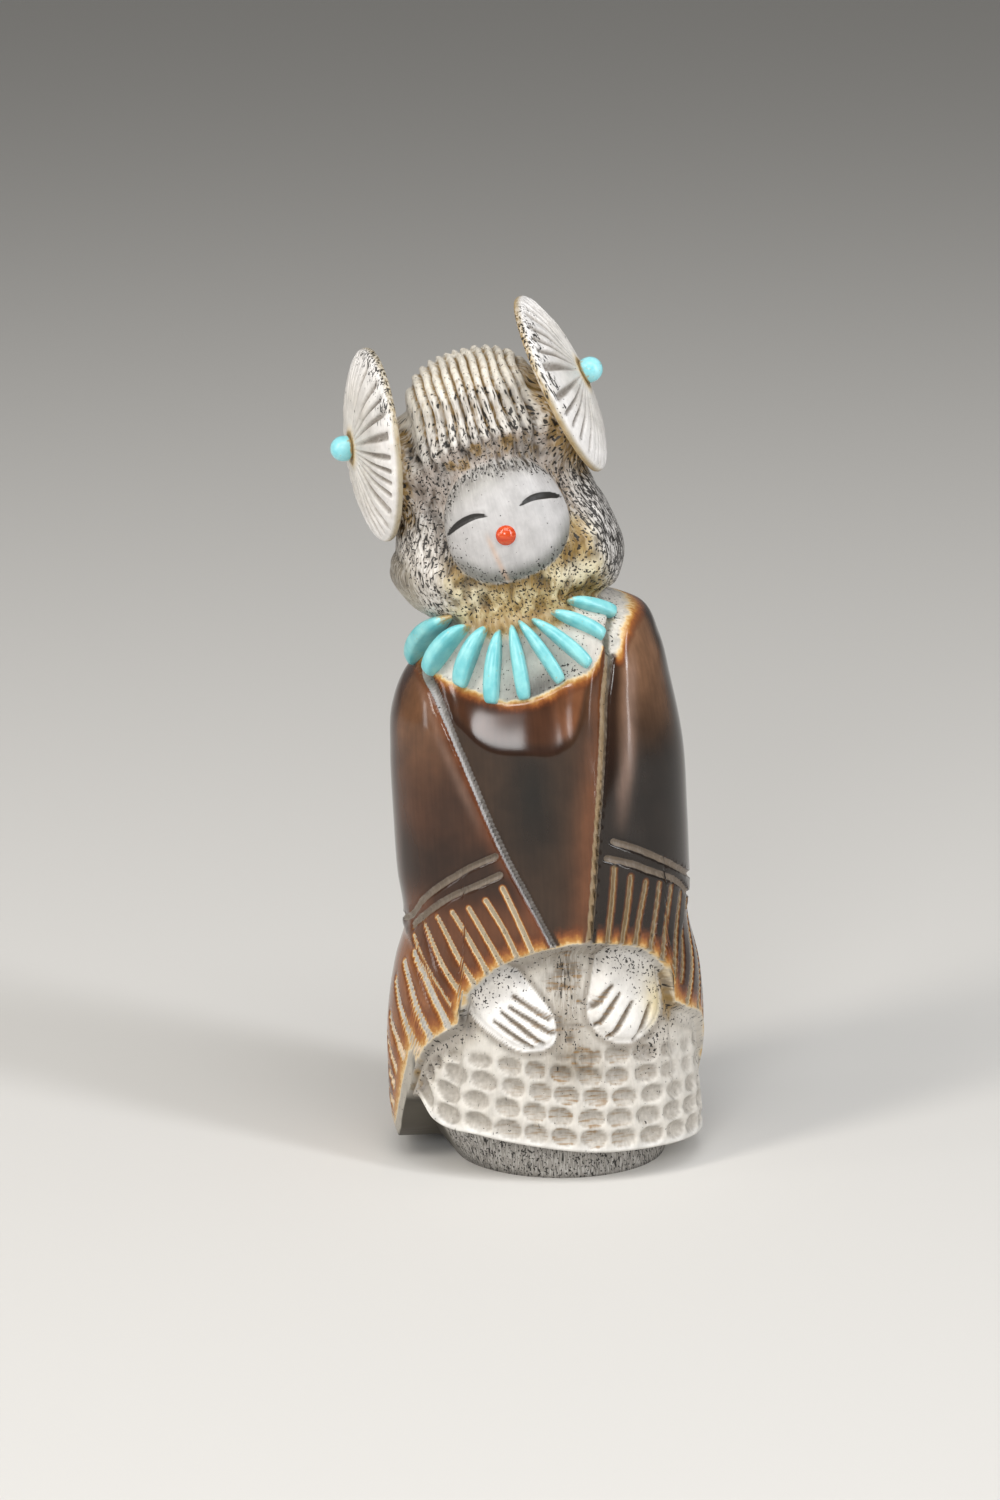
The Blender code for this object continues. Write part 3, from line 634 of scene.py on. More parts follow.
@dataclass(frozen=True)
class Fringe:
    """A row of strokes between two edges.

    Attributes:
        count: how many.
        tops: upper end of the first and of the last, as (azimuth, height).
        ends: lower end of the first and of the last.
        gouge: the tool.
        tint: colour of the antler laid bare.
    """

    count: int
    tops: tuple[Point, Point]
    ends: tuple[Point, Point]
    gouge: Gouge
    tint: str

    def strokes(self) -> list[Path]:
        """Lay out the strokes, a little uneven as a hand cuts them.

        Returns:
            The path of each stroke.
        """
        paths = []
        for number, share in enumerate(np.linspace(0, 1, self.count)):
            top = (1 - share) * np.array(self.tops[0]) + share * np.array(self.tops[1])
            end = (1 - share) * np.array(self.ends[0]) + share * np.array(self.ends[1])
            sway = 0.5 * sin(2.4 * number)
            middle = (top + end) / 2 + np.array([sway, 0.0])
            top = top + np.array([0, 0.5 * sin(5.1 * number)])
            paths.append([tuple(top), tuple(middle), tuple(end)])
        return paths


@dataclass(frozen=True)
class Robe:
    """The polished bark: a shawl over two sleeves, with a fringe."""

    sleeve_hem: Path = ((-44, 24.6), (-34, 27.4), (-22, 30.6), (-8, 32.4), (12, 33.6), (33, 33.2),
                        (46, 32), (56, 29), (62, 27))
    shawl_hem: Path = ((-128, 3), (-90, 3), (-73, 3.4), (-67.5, 5.6), (-64.5, 8.2), (-61.5, 11),
                       (-57.5, 15.4), (-51.5, 19), (-44.5, 20.9), (10, 28), (54, 24.6), (66, 22.8),
                       (78, 20.6), (90, 15.4), (104, 8), (116, 4), (128, 3))
    sleeves: Point = (-38.5, 57.0)
    sleeve_back: Path = ((-130, 37), (-91, 32.8), (-66, 31.2), (-52, 28), (-38, 22.6), (0, 10),
                         (58, 27), (65, 32), (73, 35), (84, 38), (130, 40))
    bib_edge: Path = ((-130, 76), (-96, 74.2), (-72, 72.8), (-59, 71.7), (-36, 68.9), (-13, 66.7),
                      (2, 66.9), (18, 68.1), (31, 69.4), (38.8, 70.6), (42.5, 71.8), (46, 70.5),
                      (53.5, 72.4), (65.5, 74.3), (80, 75), (94, 75.4), (130, 76.4))
    left_edge: Path = ((-71.5, 72.8), (-54.6, 69.5), (-44.8, 65.2), (-37.6, 60), (-31, 55),
                       (-16.6, 44.6), (3.2, 33.2))
    right_edge: Path = ((68, 76.8), (57.5, 74.6), (46.2, 71.8), (38, 66.7), (33.6, 61.2), (28, 53.4),
                        (22.2, 41.8), (18.6, 31.8))
    bands: tuple[Path, ...] = (
        ((-23, 45.8), (-34.5, 44), (-46.5, 41.4), (-57.5, 38.6), (-74, 34.4), (-104, 32.6)),
        ((-21.5, 43.2), (-33, 41.4), (-44.5, 39.4), (-55, 37), (-68.5, 33.8)),
        ((32.5, 47.4), (44.5, 45.8), (57.5, 43.6), (78.5, 40.2), (108, 37.4)),
        ((29, 45.2), (39.5, 44.2), (51.5, 42.4), (63.5, 40.6), (78.5, 37.4), (100, 34)),
    )
    edge_gouge: Gouge = Gouge(0.94, 0.65, flat=0.4, stain=0.17, ragged=0.03, steep=1.0)
    edge_lit_and_shade: tuple[tuple[str, str], ...] = (("#aba9a8", "#4a4138"), ("#988161", "#352d25"))
    band_gouge: Gouge = Gouge(0.96, 0.5, flat=0.2, stain=0.2, ragged=0.06, steep=1.0)
    fringes: tuple[Fringe, ...] = (
        Fringe(7, ((-20.5, 41.4), (-67, 32.8)), ((-6.5, 32.2), (-43, 24.6)),
               Gouge(0.66, 0.42, stain=0.28, ragged=0.03), "#b3a48b"),
        Fringe(7, ((32, 44.0), (75, 37.2)), ((27, 33.0), (63, 26.4)),
               Gouge(0.55, 0.38, stain=0.36, ragged=0.0, steep=0.6), "#77603f"),
        Fringe(6, ((84, 34.0), (112, 18.0)), ((66, 23.4), (102, 10.0)),
               Gouge(0.95, 0.5, flat=0.2, stain=0.3, ragged=0.0, steep=0.3), "#958469"),
    )
    strokes: tuple[Path, ...] = (
        ((-66.6, 30.1), (-57.7, 27.6), (-50.4, 24.6), (-43.5, 21.4)),
        ((-72.5, 28.2), (-66.2, 26.3), (-59.9, 23.2), (-50.6, 19.2)),
        ((-78, 25.2), (-70.5, 22.4), (-62.8, 19.4), (-56.6, 17.2)),
        ((-80.5, 19.9), (-71.5, 17.8), (-65.5, 15.8)),
        ((-86.5, 16.4), (-78, 14.8), (-71.5, 13.2)),
        ((-90, 12.8), (-81, 11.6), (-74.2, 10.6)),
        ((-92, 9.4), (-84, 8.4), (-76, 7.6)),
        ((-93, 5.9), (-86, 5.5), (-78.5, 5)),
    )
    stroke_gouges: tuple[Gouge, Gouge] = (Gouge(1.0, 0.5, stain=0.42, ragged=0.04),
                                          Gouge(1.1, 0.6, stain=0.26, ragged=0.04))
    stroke_tints: tuple[str, str] = ("#bdb8b0", "#ead0b0")
    bib_depth: float = 0.9
    chest_depth: float = 0.5
    shawl_depth: float = 0.55
    bevel: float = 1.5
    bevel_start: Path = ((-60, 68), (-40, 64), (-27, 60.8), (-5, 59.6), (12, 59.8), (20, 61.5),
                         (26, 65.5), (31, 70), (50, 74))
    valley_radius: float = 0.3
    valley_width: float = 1.7
    step: float = 0.3

    def hem(self, azimuth: Array) -> Array:
        """Height of the bark's lower edge: the sleeves' hem in front, the shawl's beside it.

        Args:
            azimuth: degrees round the column.

        Returns:
            Heights on the spine.
        """
        left, right = self.sleeves
        in_sleeve = ease(azimuth, left - 1, left + 1) * ease(-azimuth, -right - 1, -right + 1)
        return Curve(self.shawl_hem)(azimuth) * (1 - in_sleeve) + Curve(self.sleeve_hem)(azimuth) * in_sleeve

    def within_hem(self, surface: Surface) -> Array:
        """How far each point lies below the bark's lower edge, negative above it.

        Args:
            surface: the figure's skin.

        Returns:
            Millimetres, large where the edge is far.
        """
        azimuth = np.linspace(-128, 128, 129)
        line = surface.column.place(azimuth, self.hem(azimuth))
        far = surface.distance(line, 6.0)
        return np.where(surface.height < self.hem(surface.azimuth), far, -far)

    def past(self, edge: Path, surface: Surface) -> Array:
        """Degrees of each point to the right of one of the shawl's front edges."""
        line = Curve(sorted((level, azimuth) for azimuth, level in edge))
        return surface.azimuth - line(surface.height)

    def chest(self, surface: Surface) -> Array:
        """1 on the panel between the shawl's two front edges.

        Args:
            surface: the figure's skin.

        Returns:
            Values from 0 to 1.
        """
        left = ease(self.past(self.left_edge, surface), 0, 1.6)
        right = ease(-self.past(self.right_edge, surface), 0, 1.6)
        return left * right * ease(-surface.height, -73, -70)

    def shawl(self, surface: Surface) -> Array:
        """1 on the lower shawl, behind and below the sleeves."""
        below = Curve(self.sleeve_back)(surface.azimuth) - surface.height
        return ease(below, 0, 0.7) * ease(-np.abs(surface.azimuth), -150, -95)

    def bib(self, surface: Surface) -> Array:
        """1 where the bark is cut away round the neck."""
        above = surface.height - Curve(self.bib_edge)(surface.azimuth)
        return ease(above, -0.2, 0.6) * ease(-surface.height, -79, -77)

    def carve_form(self, surface: Surface) -> None:
        """Lower the chest and the shawl's back, and lean the top of the chest back to the neck.

        Args:
            surface: the figure's skin.
        """
        chest, shawl, bib = self.chest(surface), self.shawl(surface), self.bib(surface)
        surface.form += self.chest_depth * chest * (1 - bib) + self.shawl_depth * shawl
        above = np.maximum(surface.height - Curve(self.bevel_start)(surface.azimuth), 0)
        lean = 1 - np.exp(-((above / 4.5) ** 1.3))
        front = ease(-np.abs(surface.azimuth + 4), -62, -30) * ease(-surface.height, -77, -71)
        surface.form += self.bevel * lean * front
        upper = ease(surface.height, 50, 64) * ease(-surface.height, -76, -73)
        for edge, depth in ((self.left_edge, 0.4), (self.right_edge, 0.9)):
            beside = self.past(edge, surface) * self.valley_radius
            surface.form += depth * upper * np.exp(-((beside / self.valley_width) ** 2))

    def cut_bib(self, surface: Surface) -> None:
        """Cut the bark away round the neck, and all of it above.

        Args:
            surface: the figure's skin.
        """
        surface.form += self.bib_depth * self.bib(surface)
        above = surface.height - Curve(self.bib_edge)(surface.azimuth)
        surface.bare(above + 0.2 * Ripple(1.0, 8).at(surface.skin), stain=1.5)

    def carve_lines(self, surface: Surface) -> None:
        """Cut the shawl's edges, the cuffs' bands and the fringes.

        Args:
            surface: the figure's skin.
        """
        dress = surface.dress
        on_bark = ease(surface.height - self.hem(surface.azimuth), -0.05, 0.1)
        for edge, (lit, shade) in zip((self.left_edge, self.right_edge), self.edge_lit_and_shade):
            cut = ease(surface.groove(edge, self.edge_gouge, on_bark), -0.2, 0.1) * on_bark
            beyond = self.past(edge, surface)
            # Each edge's groove: a lit colour, and a painted shade over its right half.
            dress(cut, lit)
            dress(0.9 * cut * ease(beyond, -1.2, 1.4), shade)
            dress(0.8 * cut * ease(surface.height, 69, 72), "#85877d")
            dress(cut, pits=0.35)
        for path in self.bands:
            inside = surface.groove(path, self.band_gouge, on_bark)
            dress(ease(inside, -0.3, 0.1) * on_bark, "#75685a")
        for fringe in self.fringes:
            for path in fringe.strokes():
                inside = surface.groove(path, fringe.gouge, on_bark)
                dress(ease(inside, -0.3, 0.1) * on_bark, fringe.tint)
                dress(ease(inside, -0.1, 0.1) * on_bark, pits=0.3)
        for number, path in enumerate(self.strokes):
            inside = surface.groove(path, self.stroke_gouges[number > 2], on_bark)
            low = ease(-surface.height, -20, -17)
            for tint, share in zip(self.stroke_tints, (1.0, low)):
                dress(share * ease(inside, -0.3, 0.1) * on_bark, tint)

    def paint(self, surface: Surface) -> None:
        """Colour the polished bark, darkest where thickest, with painted reflections, highlights and shade.

        Args:
            surface: the figure's skin.
        """
        azimuth, height = surface.azimuth, surface.height
        left, right = self.past(self.left_edge, surface), self.past(self.right_edge, surface)
        on_left, on_right = ease(-left, -0.5, 0.5), ease(right, -0.5, 0.5)
        chest = (1 - on_left) * (1 - on_right)
        # Heights of the painted highlight streaks on both shoulders.
        painted_highlight_band = ease(height, 47, 55) * ease(-height, -72, -67)
        over_bevel = height - Curve(self.bevel_start)(azimuth)
        shawl = self.shawl(surface)
        left_flap = shawl * ease(-azimuth, 40, 50) * ease(-azimuth, -66, -56)
        for tint, share in (
            ("#3f2a1d", 1.0),
            # The left sleeve, lighter on the shoulder by a painted reflection and redder along the chest.
            ("#462a1a", on_left),
            ("#6b4a33", 0.9 * surface.patch(-60, 66, 24, 9)),
            ("#2f1f16", 0.6 * surface.patch(-42, 51, 10, 6)),
            ("#2a1b12", 0.85 * on_left * band(height, 40, 47, 5)),
            ("#5c3823", on_left * ease(-height, -40, -36)),
            ("#6a3a20", 0.75 * on_left * hump(left, 0, 5)),
            ("#3c2418", on_left * ease(-azimuth, 70, 76)),
            # A painted highlight streak beside the chest.
            ("#94796a", 0.3 * painted_highlight_band * on_left * hump(left, -6, 2.2)),
            # The right sleeve, nearly black below the shoulder, with a painted reflection lightening it
            # above.
            ("#211a15", on_right * ease(-height, -70, -60)),
            ("#7d5b43", on_right * ease(height, 56, 72)),
            # A painted highlight streak on the shoulder.
            ("#94796a", 0.6 * painted_highlight_band * on_right * hump(right, 11, 3.4)),
            # Painted shade in the valley beside the chest's right edge.
            ("#22130b", 0.9 * on_right * ease(-right, -8, -4) * ease(height, 50, 60)),
            ("#8a522a", on_right * ease(height, 72, 76)),
            ("#24150d", on_right * ease(azimuth, 68, 80)),
            # The chest, dark in its middle and red below the bib and along its right edge.
            ("#38281c", chest),
            ("#15120e", 0.95 * surface.patch(-4, 54, 13, 10)),
            ("#2f231a", 0.7 * chest * ease(-height, -43, -37)),
            ("#6a4128", 0.9 * chest * hump(right, 0, 9)),
            ("#402617", chest * ease(over_bevel, -0.2, 2.5)),
            ("#7c4f34", 0.8 * chest * ease(over_bevel, 0.2, 2.0) * ease(azimuth, 6, 22)),
            ("#2e1c13", chest * band(over_bevel, -0.1, 1.2, 1.2) * ease(-azimuth, -20, -10)),
            # The shawl, golden where the bark is thin, and the plain back.
            ("#8f561f", shawl * ease(-azimuth, 20, 40)),
            ("#7a5038", 0.8 * left_flap * ease(height, 18, 22)),
            ("#38251a", ease(np.abs(azimuth), 100, 165)),
            ("#4a2609", 0.9 * shawl * ease(-azimuth, 60, 68) * ease(-height, -14, -8)),
            ("#33221a", shawl * ease(azimuth, 20, 40)),
        ):
            surface.paint(Coat.BARK, tint, share)


# ---- the skirt


@dataclass(frozen=True)
class Skirt:
    """The skirt of corn under the hem, and the foot that the figure stands on."""

    rim: Path = ((-128, 1.3), (-90, 1.3), (-71, 2.4), (-65, 5.2), (-61, 9), (-57.5, 10.9), (-48, 8.2),
                 (-28, 6.8), (-8, 5.7), (18, 4.6), (50, 4.2), (84, 3.2), (104, 2.2), (128, 1.3))
    opening: Point = (-100.0, 108.0)
    opening_fade: float = 14.0
    middle: float = 12.0
    depth: float = 3.4
    side_depth: float = 1.7
    hem_cut: float = 0.3
    hem_slope: float = 1.2
    tunnel_top: float = 10.6
    foot_middle: Point = (1.9, -0.5)
    foot_reach: Point = (14.6, 14.0)
    foot_flare: float = 0.4
    kernel_columns: Point = (-66, -54, -42, -30, -16, -5, 7, 20.5, 32.5, 45, 57, 68, 79, 90, 101)
    radius: float = 18.0
    kernel_pitch: Point = (3.75, 2.85)
    kernel_reach: Point = (1.72, 1.35)
    kernel_depth: float = 0.95
    first_row: float = 1.9
    knot: Point = (17.0, 17.4)
    knot_radius: float = 2.6

    def open_front(self, azimuth: Array) -> Array:
        """1 where the bark is open in front, 0 round the back.

        Args:
            azimuth: degrees round the column.

        Returns:
            Values from 0 to 1.
        """
        left, right = self.opening
        fade = self.opening_fade
        return ease(azimuth, left - fade, left) * ease(-azimuth, -right - fade, -right)

    def foot(self, surface: Surface) -> Array:
        """How far in from the column's skin the foot lies.

        Args:
            surface: the figure's skin.

        Returns:
            Millimetres.
        """
        flare = self.foot_flare * np.clip(surface.height, 0, 8)
        wide, deep = self.foot_reach[0] + flare, self.foot_reach[1]
        turn = np.radians(surface.azimuth)
        ray_x, ray_y = np.sin(turn) / wide, -np.cos(turn) / deep
        start_x, start_y = (flare - self.foot_middle[0]) / wide, -self.foot_middle[1] / deep
        a = ray_x**2 + ray_y**2
        b = ray_x * start_x + ray_y * start_y
        c = start_x**2 + start_y**2 - 1
        reach = (-b + np.sqrt(b * b - a * c)) / a
        return np.hypot(surface.skin[..., 0], surface.skin[..., 1]) - reach

    def carve_form(self, surface: Surface, robe: Robe, hands: Hands) -> None:
        """Cut everything under the hem.

        Args:
            surface: the figure's skin.
            robe: gives the hem.
            hands: what stands out below it.
        """
        azimuth, height, step = surface.azimuth, surface.height, robe.step
        rim, edge = Curve(self.rim)(azimuth), robe.hem(azimuth)
        share = np.clip((height - rim) / (edge - rim), 0.0, 1.0)
        front = hump(azimuth, self.middle, 38)
        lie = self.side_depth + (self.depth - self.side_depth) * front
        slope = self.hem_cut + self.hem_slope * np.maximum(edge - height, 0)
        skirt = np.minimum(np.minimum(lie * share**0.9, slope), hands.depth(surface))
        tunnel = ease(-azimuth, 58, 61) * ease(self.tunnel_top - height, -0.6, 0.6)
        under_rim = np.maximum(ease(rim - height, -step / 2, step / 2), tunnel)
        opened = skirt * (1 - under_rim) + self.foot(surface) * under_rim
        opening = self.open_front(azimuth)
        cut_away = ease(edge - height, -step / 2, step / 2) * opening
        surface.form = surface.form * (1 - cut_away) + opened * cut_away
        inside = np.where(opening > 0.02, robe.within_hem(surface), 0.9 - height)
        inside = inside + 2.0 * ease(-azimuth, 57, 61) * opening
        inside = inside * (1 - 0.4 * ease(-azimuth, 42, 58) * ease(-inside, 0, 0.1))
        surface.bare(inside + 0.2 * Ripple(1.8, 3).at(surface.skin), stain=2.4)

    def kernels(self, surface: Surface, robe: Robe, hands: Hands) -> Array:
        """How deep each point lies in a kernel's bowl, from 0 at its border to 1.

        Args:
            surface: the figure's skin.
            robe: gives the hem.
            hands: what no kernel is cut into.

        Returns:
            Values from 0 to 1.
        """
        azimuth, height = surface.azimuth, surface.height
        rim, edge = Curve(self.rim)(azimuth), robe.hem(azimuth)
        row = (height - rim - self.first_row) / self.kernel_pitch[1]
        line = np.maximum(np.round(row), 0)
        count = np.arange(len(self.kernel_columns))
        place = np.interp(azimuth, self.kernel_columns, count) + 0.12 * np.sin(2.3 * line)
        across = (place - np.round(place)) * self.kernel_pitch[0]
        up = (row - line) * self.kernel_pitch[1]
        uneven = 1 + 0.22 * Ripple(2.6, 11).at(surface.skin)
        wide, tall = self.kernel_reach
        bowl = (np.abs(across / wide) ** 2.2 + np.abs(up / tall) ** 2.2) * uneven
        inside = ease(edge - height, 2.2, 4.0) * ease(height - rim, 0.35, 0.8) * self.open_front(azimuth)
        inside = inside * ease(azimuth, -62, -57) * ease(hands.beyond(surface), 0.3, 1.4)
        inside = inside * (1 - 0.7 * ease(azimuth, 38, 62) * ease(height, 8, 14))
        lowered = 3 * ease(-azimuth, -30, -20) + 2 * ease(azimuth, 40, 60)
        inside = inside * ease(-height - lowered, -21.5, -19.5)
        return np.clip(1 - bowl, 0, 1) * inside

    def carve(self, surface: Surface, robe: Robe, hands: Hands) -> None:
        """Cut the kernels, and the growth rings of the knot above them.

        Args:
            surface: the figure's skin.
            robe: gives the hem.
            hands: what no kernel is cut into.
        """
        bowl = self.kernels(surface, robe, hands)
        surface.fine += self.kernel_depth * bowl**0.65
        surface.deepen(0.34 * ease(bowl, 0.0, 0.3))
        azimuth, height = surface.azimuth, surface.height
        near = self.open_front(azimuth) * ease(robe.hem(azimuth) - height, 0, 1)
        surface.streak = np.maximum(surface.streak, hump(azimuth, self.middle, 26) * near)
        far = np.hypot((azimuth - self.knot[0]) * radians(self.radius), height - self.knot[1])
        rings = (0.5 + 0.5 * np.cos(4.6 * far)) * ease(-far, -self.knot_radius, -self.knot_radius + 1)
        surface.fine += 0.14 * rings
        surface.deepen(0.5 * rings)

    def paint(self, surface: Surface, robe: Robe) -> None:
        """Colour the cut antler under the hem.

        Args:
            surface: the figure's skin.
            robe: gives the hem.
        """
        dress = surface.dress
        azimuth, height = surface.azimuth, surface.height
        below = robe.within_hem(surface)
        over_rim = height - Curve(self.rim)(azimuth)
        open_front = self.open_front(azimuth) * ease(below, -0.2, 0.2)
        dress(open_front, "#cfcac1", pits=0.2)
        dress(open_front * band(over_rim, 0.1, 0.9, 0.5), "#d9d6d0")
        dress(open_front * ease(-over_rim, -0.2, 0.3), "#96928c")
        dress(open_front * ease(-over_rim, -0.1, 0.6), pits=0.75, dashes=0.6)
        upper = open_front * ease(-below, -4.5, -2.5)
        dress(upper, "#c4bdb1", pits=0.5)
        wall = open_front * ease(-below, -3.4, -2.0)
        dress(wall, "#9f988e", pits=0.6)
        dress(wall * ease(azimuth, 28, 45), "#c6c0b6")
        dress(wall * ease(-azimuth, 50, 62), amber=0.5)
        knotty = open_front * hump(azimuth, 10, 10) * ease(height, 16, 19) * ease(below, 1, 1.8)
        dress(knotty, "#a1998d", pits=0.6, amber=0.22)
        dress(knotty * ease(height, 22, 26), dashes=0.5)
        lump = Ripple(1.0, 42).at(surface.skin * np.array([0.6, 0.6, 1.0]))
        surface.fine += 0.5 * knotty * lump
        surface.deepen(0.6 * knotty * ease(lump, 0.0, 0.6))
        dress(0.8 * surface.patch(12, 16.5, 15, 2.6), "#8f8575")
        # A small hole by the left hand, painted dark as its shade, in a darker ring.
        dress(surface.patch(-38.6, 22.9, 1.6, 0.7), "#1f1a15")
        dress(0.8 * surface.patch(-36.8, 21.8, 1.2, 1.0), "#3a342c")
        speckled = open_front * hump(azimuth, 48, 12) * hump(height, 19.0, 3.5)
        dress(speckled, "#b9b2a8", pits=0.8)
        crevice = open_front * hump(azimuth, 58, 5) * ease(height, 19, 23)
        dress(0.8 * crevice, "#7a6a50")
        dress(crevice, pits=0.9, amber=0.6)
        side = self.open_front(azimuth) * ease(-azimuth, 57, 61)
        dress(side, "#a8a297", pits=0.4)
        # Painted shade in the tunnel under the shawl's left side, less dark on the foot further in.
        tunnel_shade = side * ease(below, -0.5, -0.3) * ease(self.tunnel_top - height, -0.4, 0.6)
        dress(tunnel_shade, "#443f36", pits=0.0, dashes=0.0, amber=0.0)
        dress(tunnel_shade * ease(below, 2.0, 4.5) * ease(azimuth, -80, -72), "#77736c")
        # Painted shade, near black, at the back of the tunnel.
        behind = ease(-azimuth, 76, 80) * ease(-height, -8, -6) * ease(below, -0.4, -0.2)
        dress(behind, "#1d1916", pits=0.0, dashes=0.0)


# ---- the hands


@dataclass(frozen=True)
class Hand:
    """One hand.

    Attributes:
        outline: azimuth and height of its corners, anticlockwise from under the hem.
        grooves: upper and lower end of each groove between its fingers.
    """

    outline: Path
    grooves: tuple[Path, ...]


@dataclass(frozen=True)
class Hands:
    """The two hands below the cuffs."""

    pair: tuple[Hand, Hand] = (
        Hand(((-21.0, 31.5), (-41.0, 27.0), (-36.0, 22.6), (-25.0, 20.2), (-16.5, 18.6), (-6.5, 18.2),
              (4.0, 19.4), (5.6, 21.6), (2.8, 24.2), (-6.0, 26.8)),
             (((-16.5, 26.2), (2.4, 22.9)), ((-18.1, 24.7), (4.6, 20.8)), ((-21.4, 24.0), (-1.6, 19.6)),
              ((-24.7, 22.7), (-7.0, 19.1)))),
        Hand(((54.5, 33.0), (27.0, 33.0), (21.3, 27.0), (18.5, 23.8), (22.4, 21.2), (29.0, 19.5),
              (38.0, 18.9), (47.0, 20.2), (53.8, 22.4), (55.5, 25.0)),
             (((30.4, 27.4), (20.6, 24.2)), ((33.4, 26.2), (22.4, 21.7)), ((38.8, 25.0), (28.1, 20.0)),
              ((46.6, 24.4), (39.7, 19.5)))),
    )
    radius: float = 16.9
    knuckle_depth: float = 0.55
    side_depth: float = 2.4
    corner: float = 0.45
    finger: Gouge = Gouge(0.76, 0.6)

    def beyond(self, surface: Surface) -> Array:
        """Distance of each point outside the nearer hand, negative inside it, in millimetres.

        Args:
            surface: the figure's skin.

        Returns:
            Millimetres.
        """
        scale = np.array([radians(self.radius), 1.0])
        place = np.stack([surface.azimuth, surface.height], axis=-1) * scale
        nearest = np.full(surface.height.shape, FAR)
        for hand in self.pair:
            corners = np.array(hand.outline) * scale
            outside = np.zeros(surface.height.shape)
            for start, end in zip(corners, np.roll(corners, -1, axis=0)):
                along = unit(end - start)
                away = (place - start) @ np.array([along[1], -along[0]])
                outside = outside + np.exp(np.clip(away / self.corner, -30, 30))
            nearest = np.minimum(nearest, self.corner * np.log(outside))
        return nearest

    def depth(self, surface: Surface) -> Array:
        """Depth of the backs of the hands below the skin, large away from them.

        Args:
            surface: the figure's skin.

        Returns:
            Millimetres.
        """
        beyond = self.beyond(surface)
        back = self.knuckle_depth + 0.06 * np.maximum(surface.height - 20, 0)
        return np.where(beyond < 6, back + self.side_depth * np.exp(np.clip(beyond / 0.5, -9, 2)), FAR)

    def carve(self, surface: Surface, on_core: Array) -> None:
        """Cut the grooves between the fingers, thinner towards their ends.

        Args:
            surface: the figure's skin.
            on_core: 1 below the hem, where the bark is gone.
        """
        on_hand = ease(-self.beyond(surface), -0.1, 0.2) * on_core
        for path in chain(*(hand.grooves for hand in self.pair)):
            line = surface.trace(path)
            middle = line[len(line) // 2]
            reach = 0.55 * np.linalg.norm(line[-1] - line[0])
            away = np.linalg.norm(surface.skin - middle, axis=-1) / reach
            half = self.finger.width / 2 * (1 - 0.5 * np.clip(away, 0, 1) ** 2)
            section = ease(half - surface.distance(line, 1.5), -0.22, 0.26) * on_hand
            surface.fine = np.maximum(surface.fine, self.finger.depth * section)
            surface.deepen(0.95 * section)

    def paint(self, surface: Surface, on_core: Array) -> None:
        """Colour the hands, the whitest antler on the figure.

        Args:
            surface: the figure's skin.
            on_core: 1 below the hem, where the bark is gone.
        """
        dress = surface.dress
        beyond = self.beyond(surface)
        # Painted shade on the hands' steep sides down to the skirt, which are also pitted.
        round_hand = band(beyond, -0.1, 0.9, 0.7) * on_core
        dress(0.7 * round_hand, "#857c70")
        dress(round_hand, pits=0.6)
        on_hand = ease(-beyond, -0.15, 0.15) * on_core
        dress(on_hand, "#e8e5e0", pits=0.24)
        dress(on_hand * ease(-surface.azimuth, -14, 0), "#fbf9f6")
        wrist = on_hand * ease(surface.height + 0.2 * np.abs(surface.azimuth - 12), 29.0, 35)
        dress(0.8 * wrist, "#aaa59d")
        dress(wrist, pits=0.72)
        warm = on_hand * hump(surface.azimuth, 50, 6) * hump(surface.height, 24, 3.5)
        dress(0.7 * warm, "#ddc88c")


# ---- the head


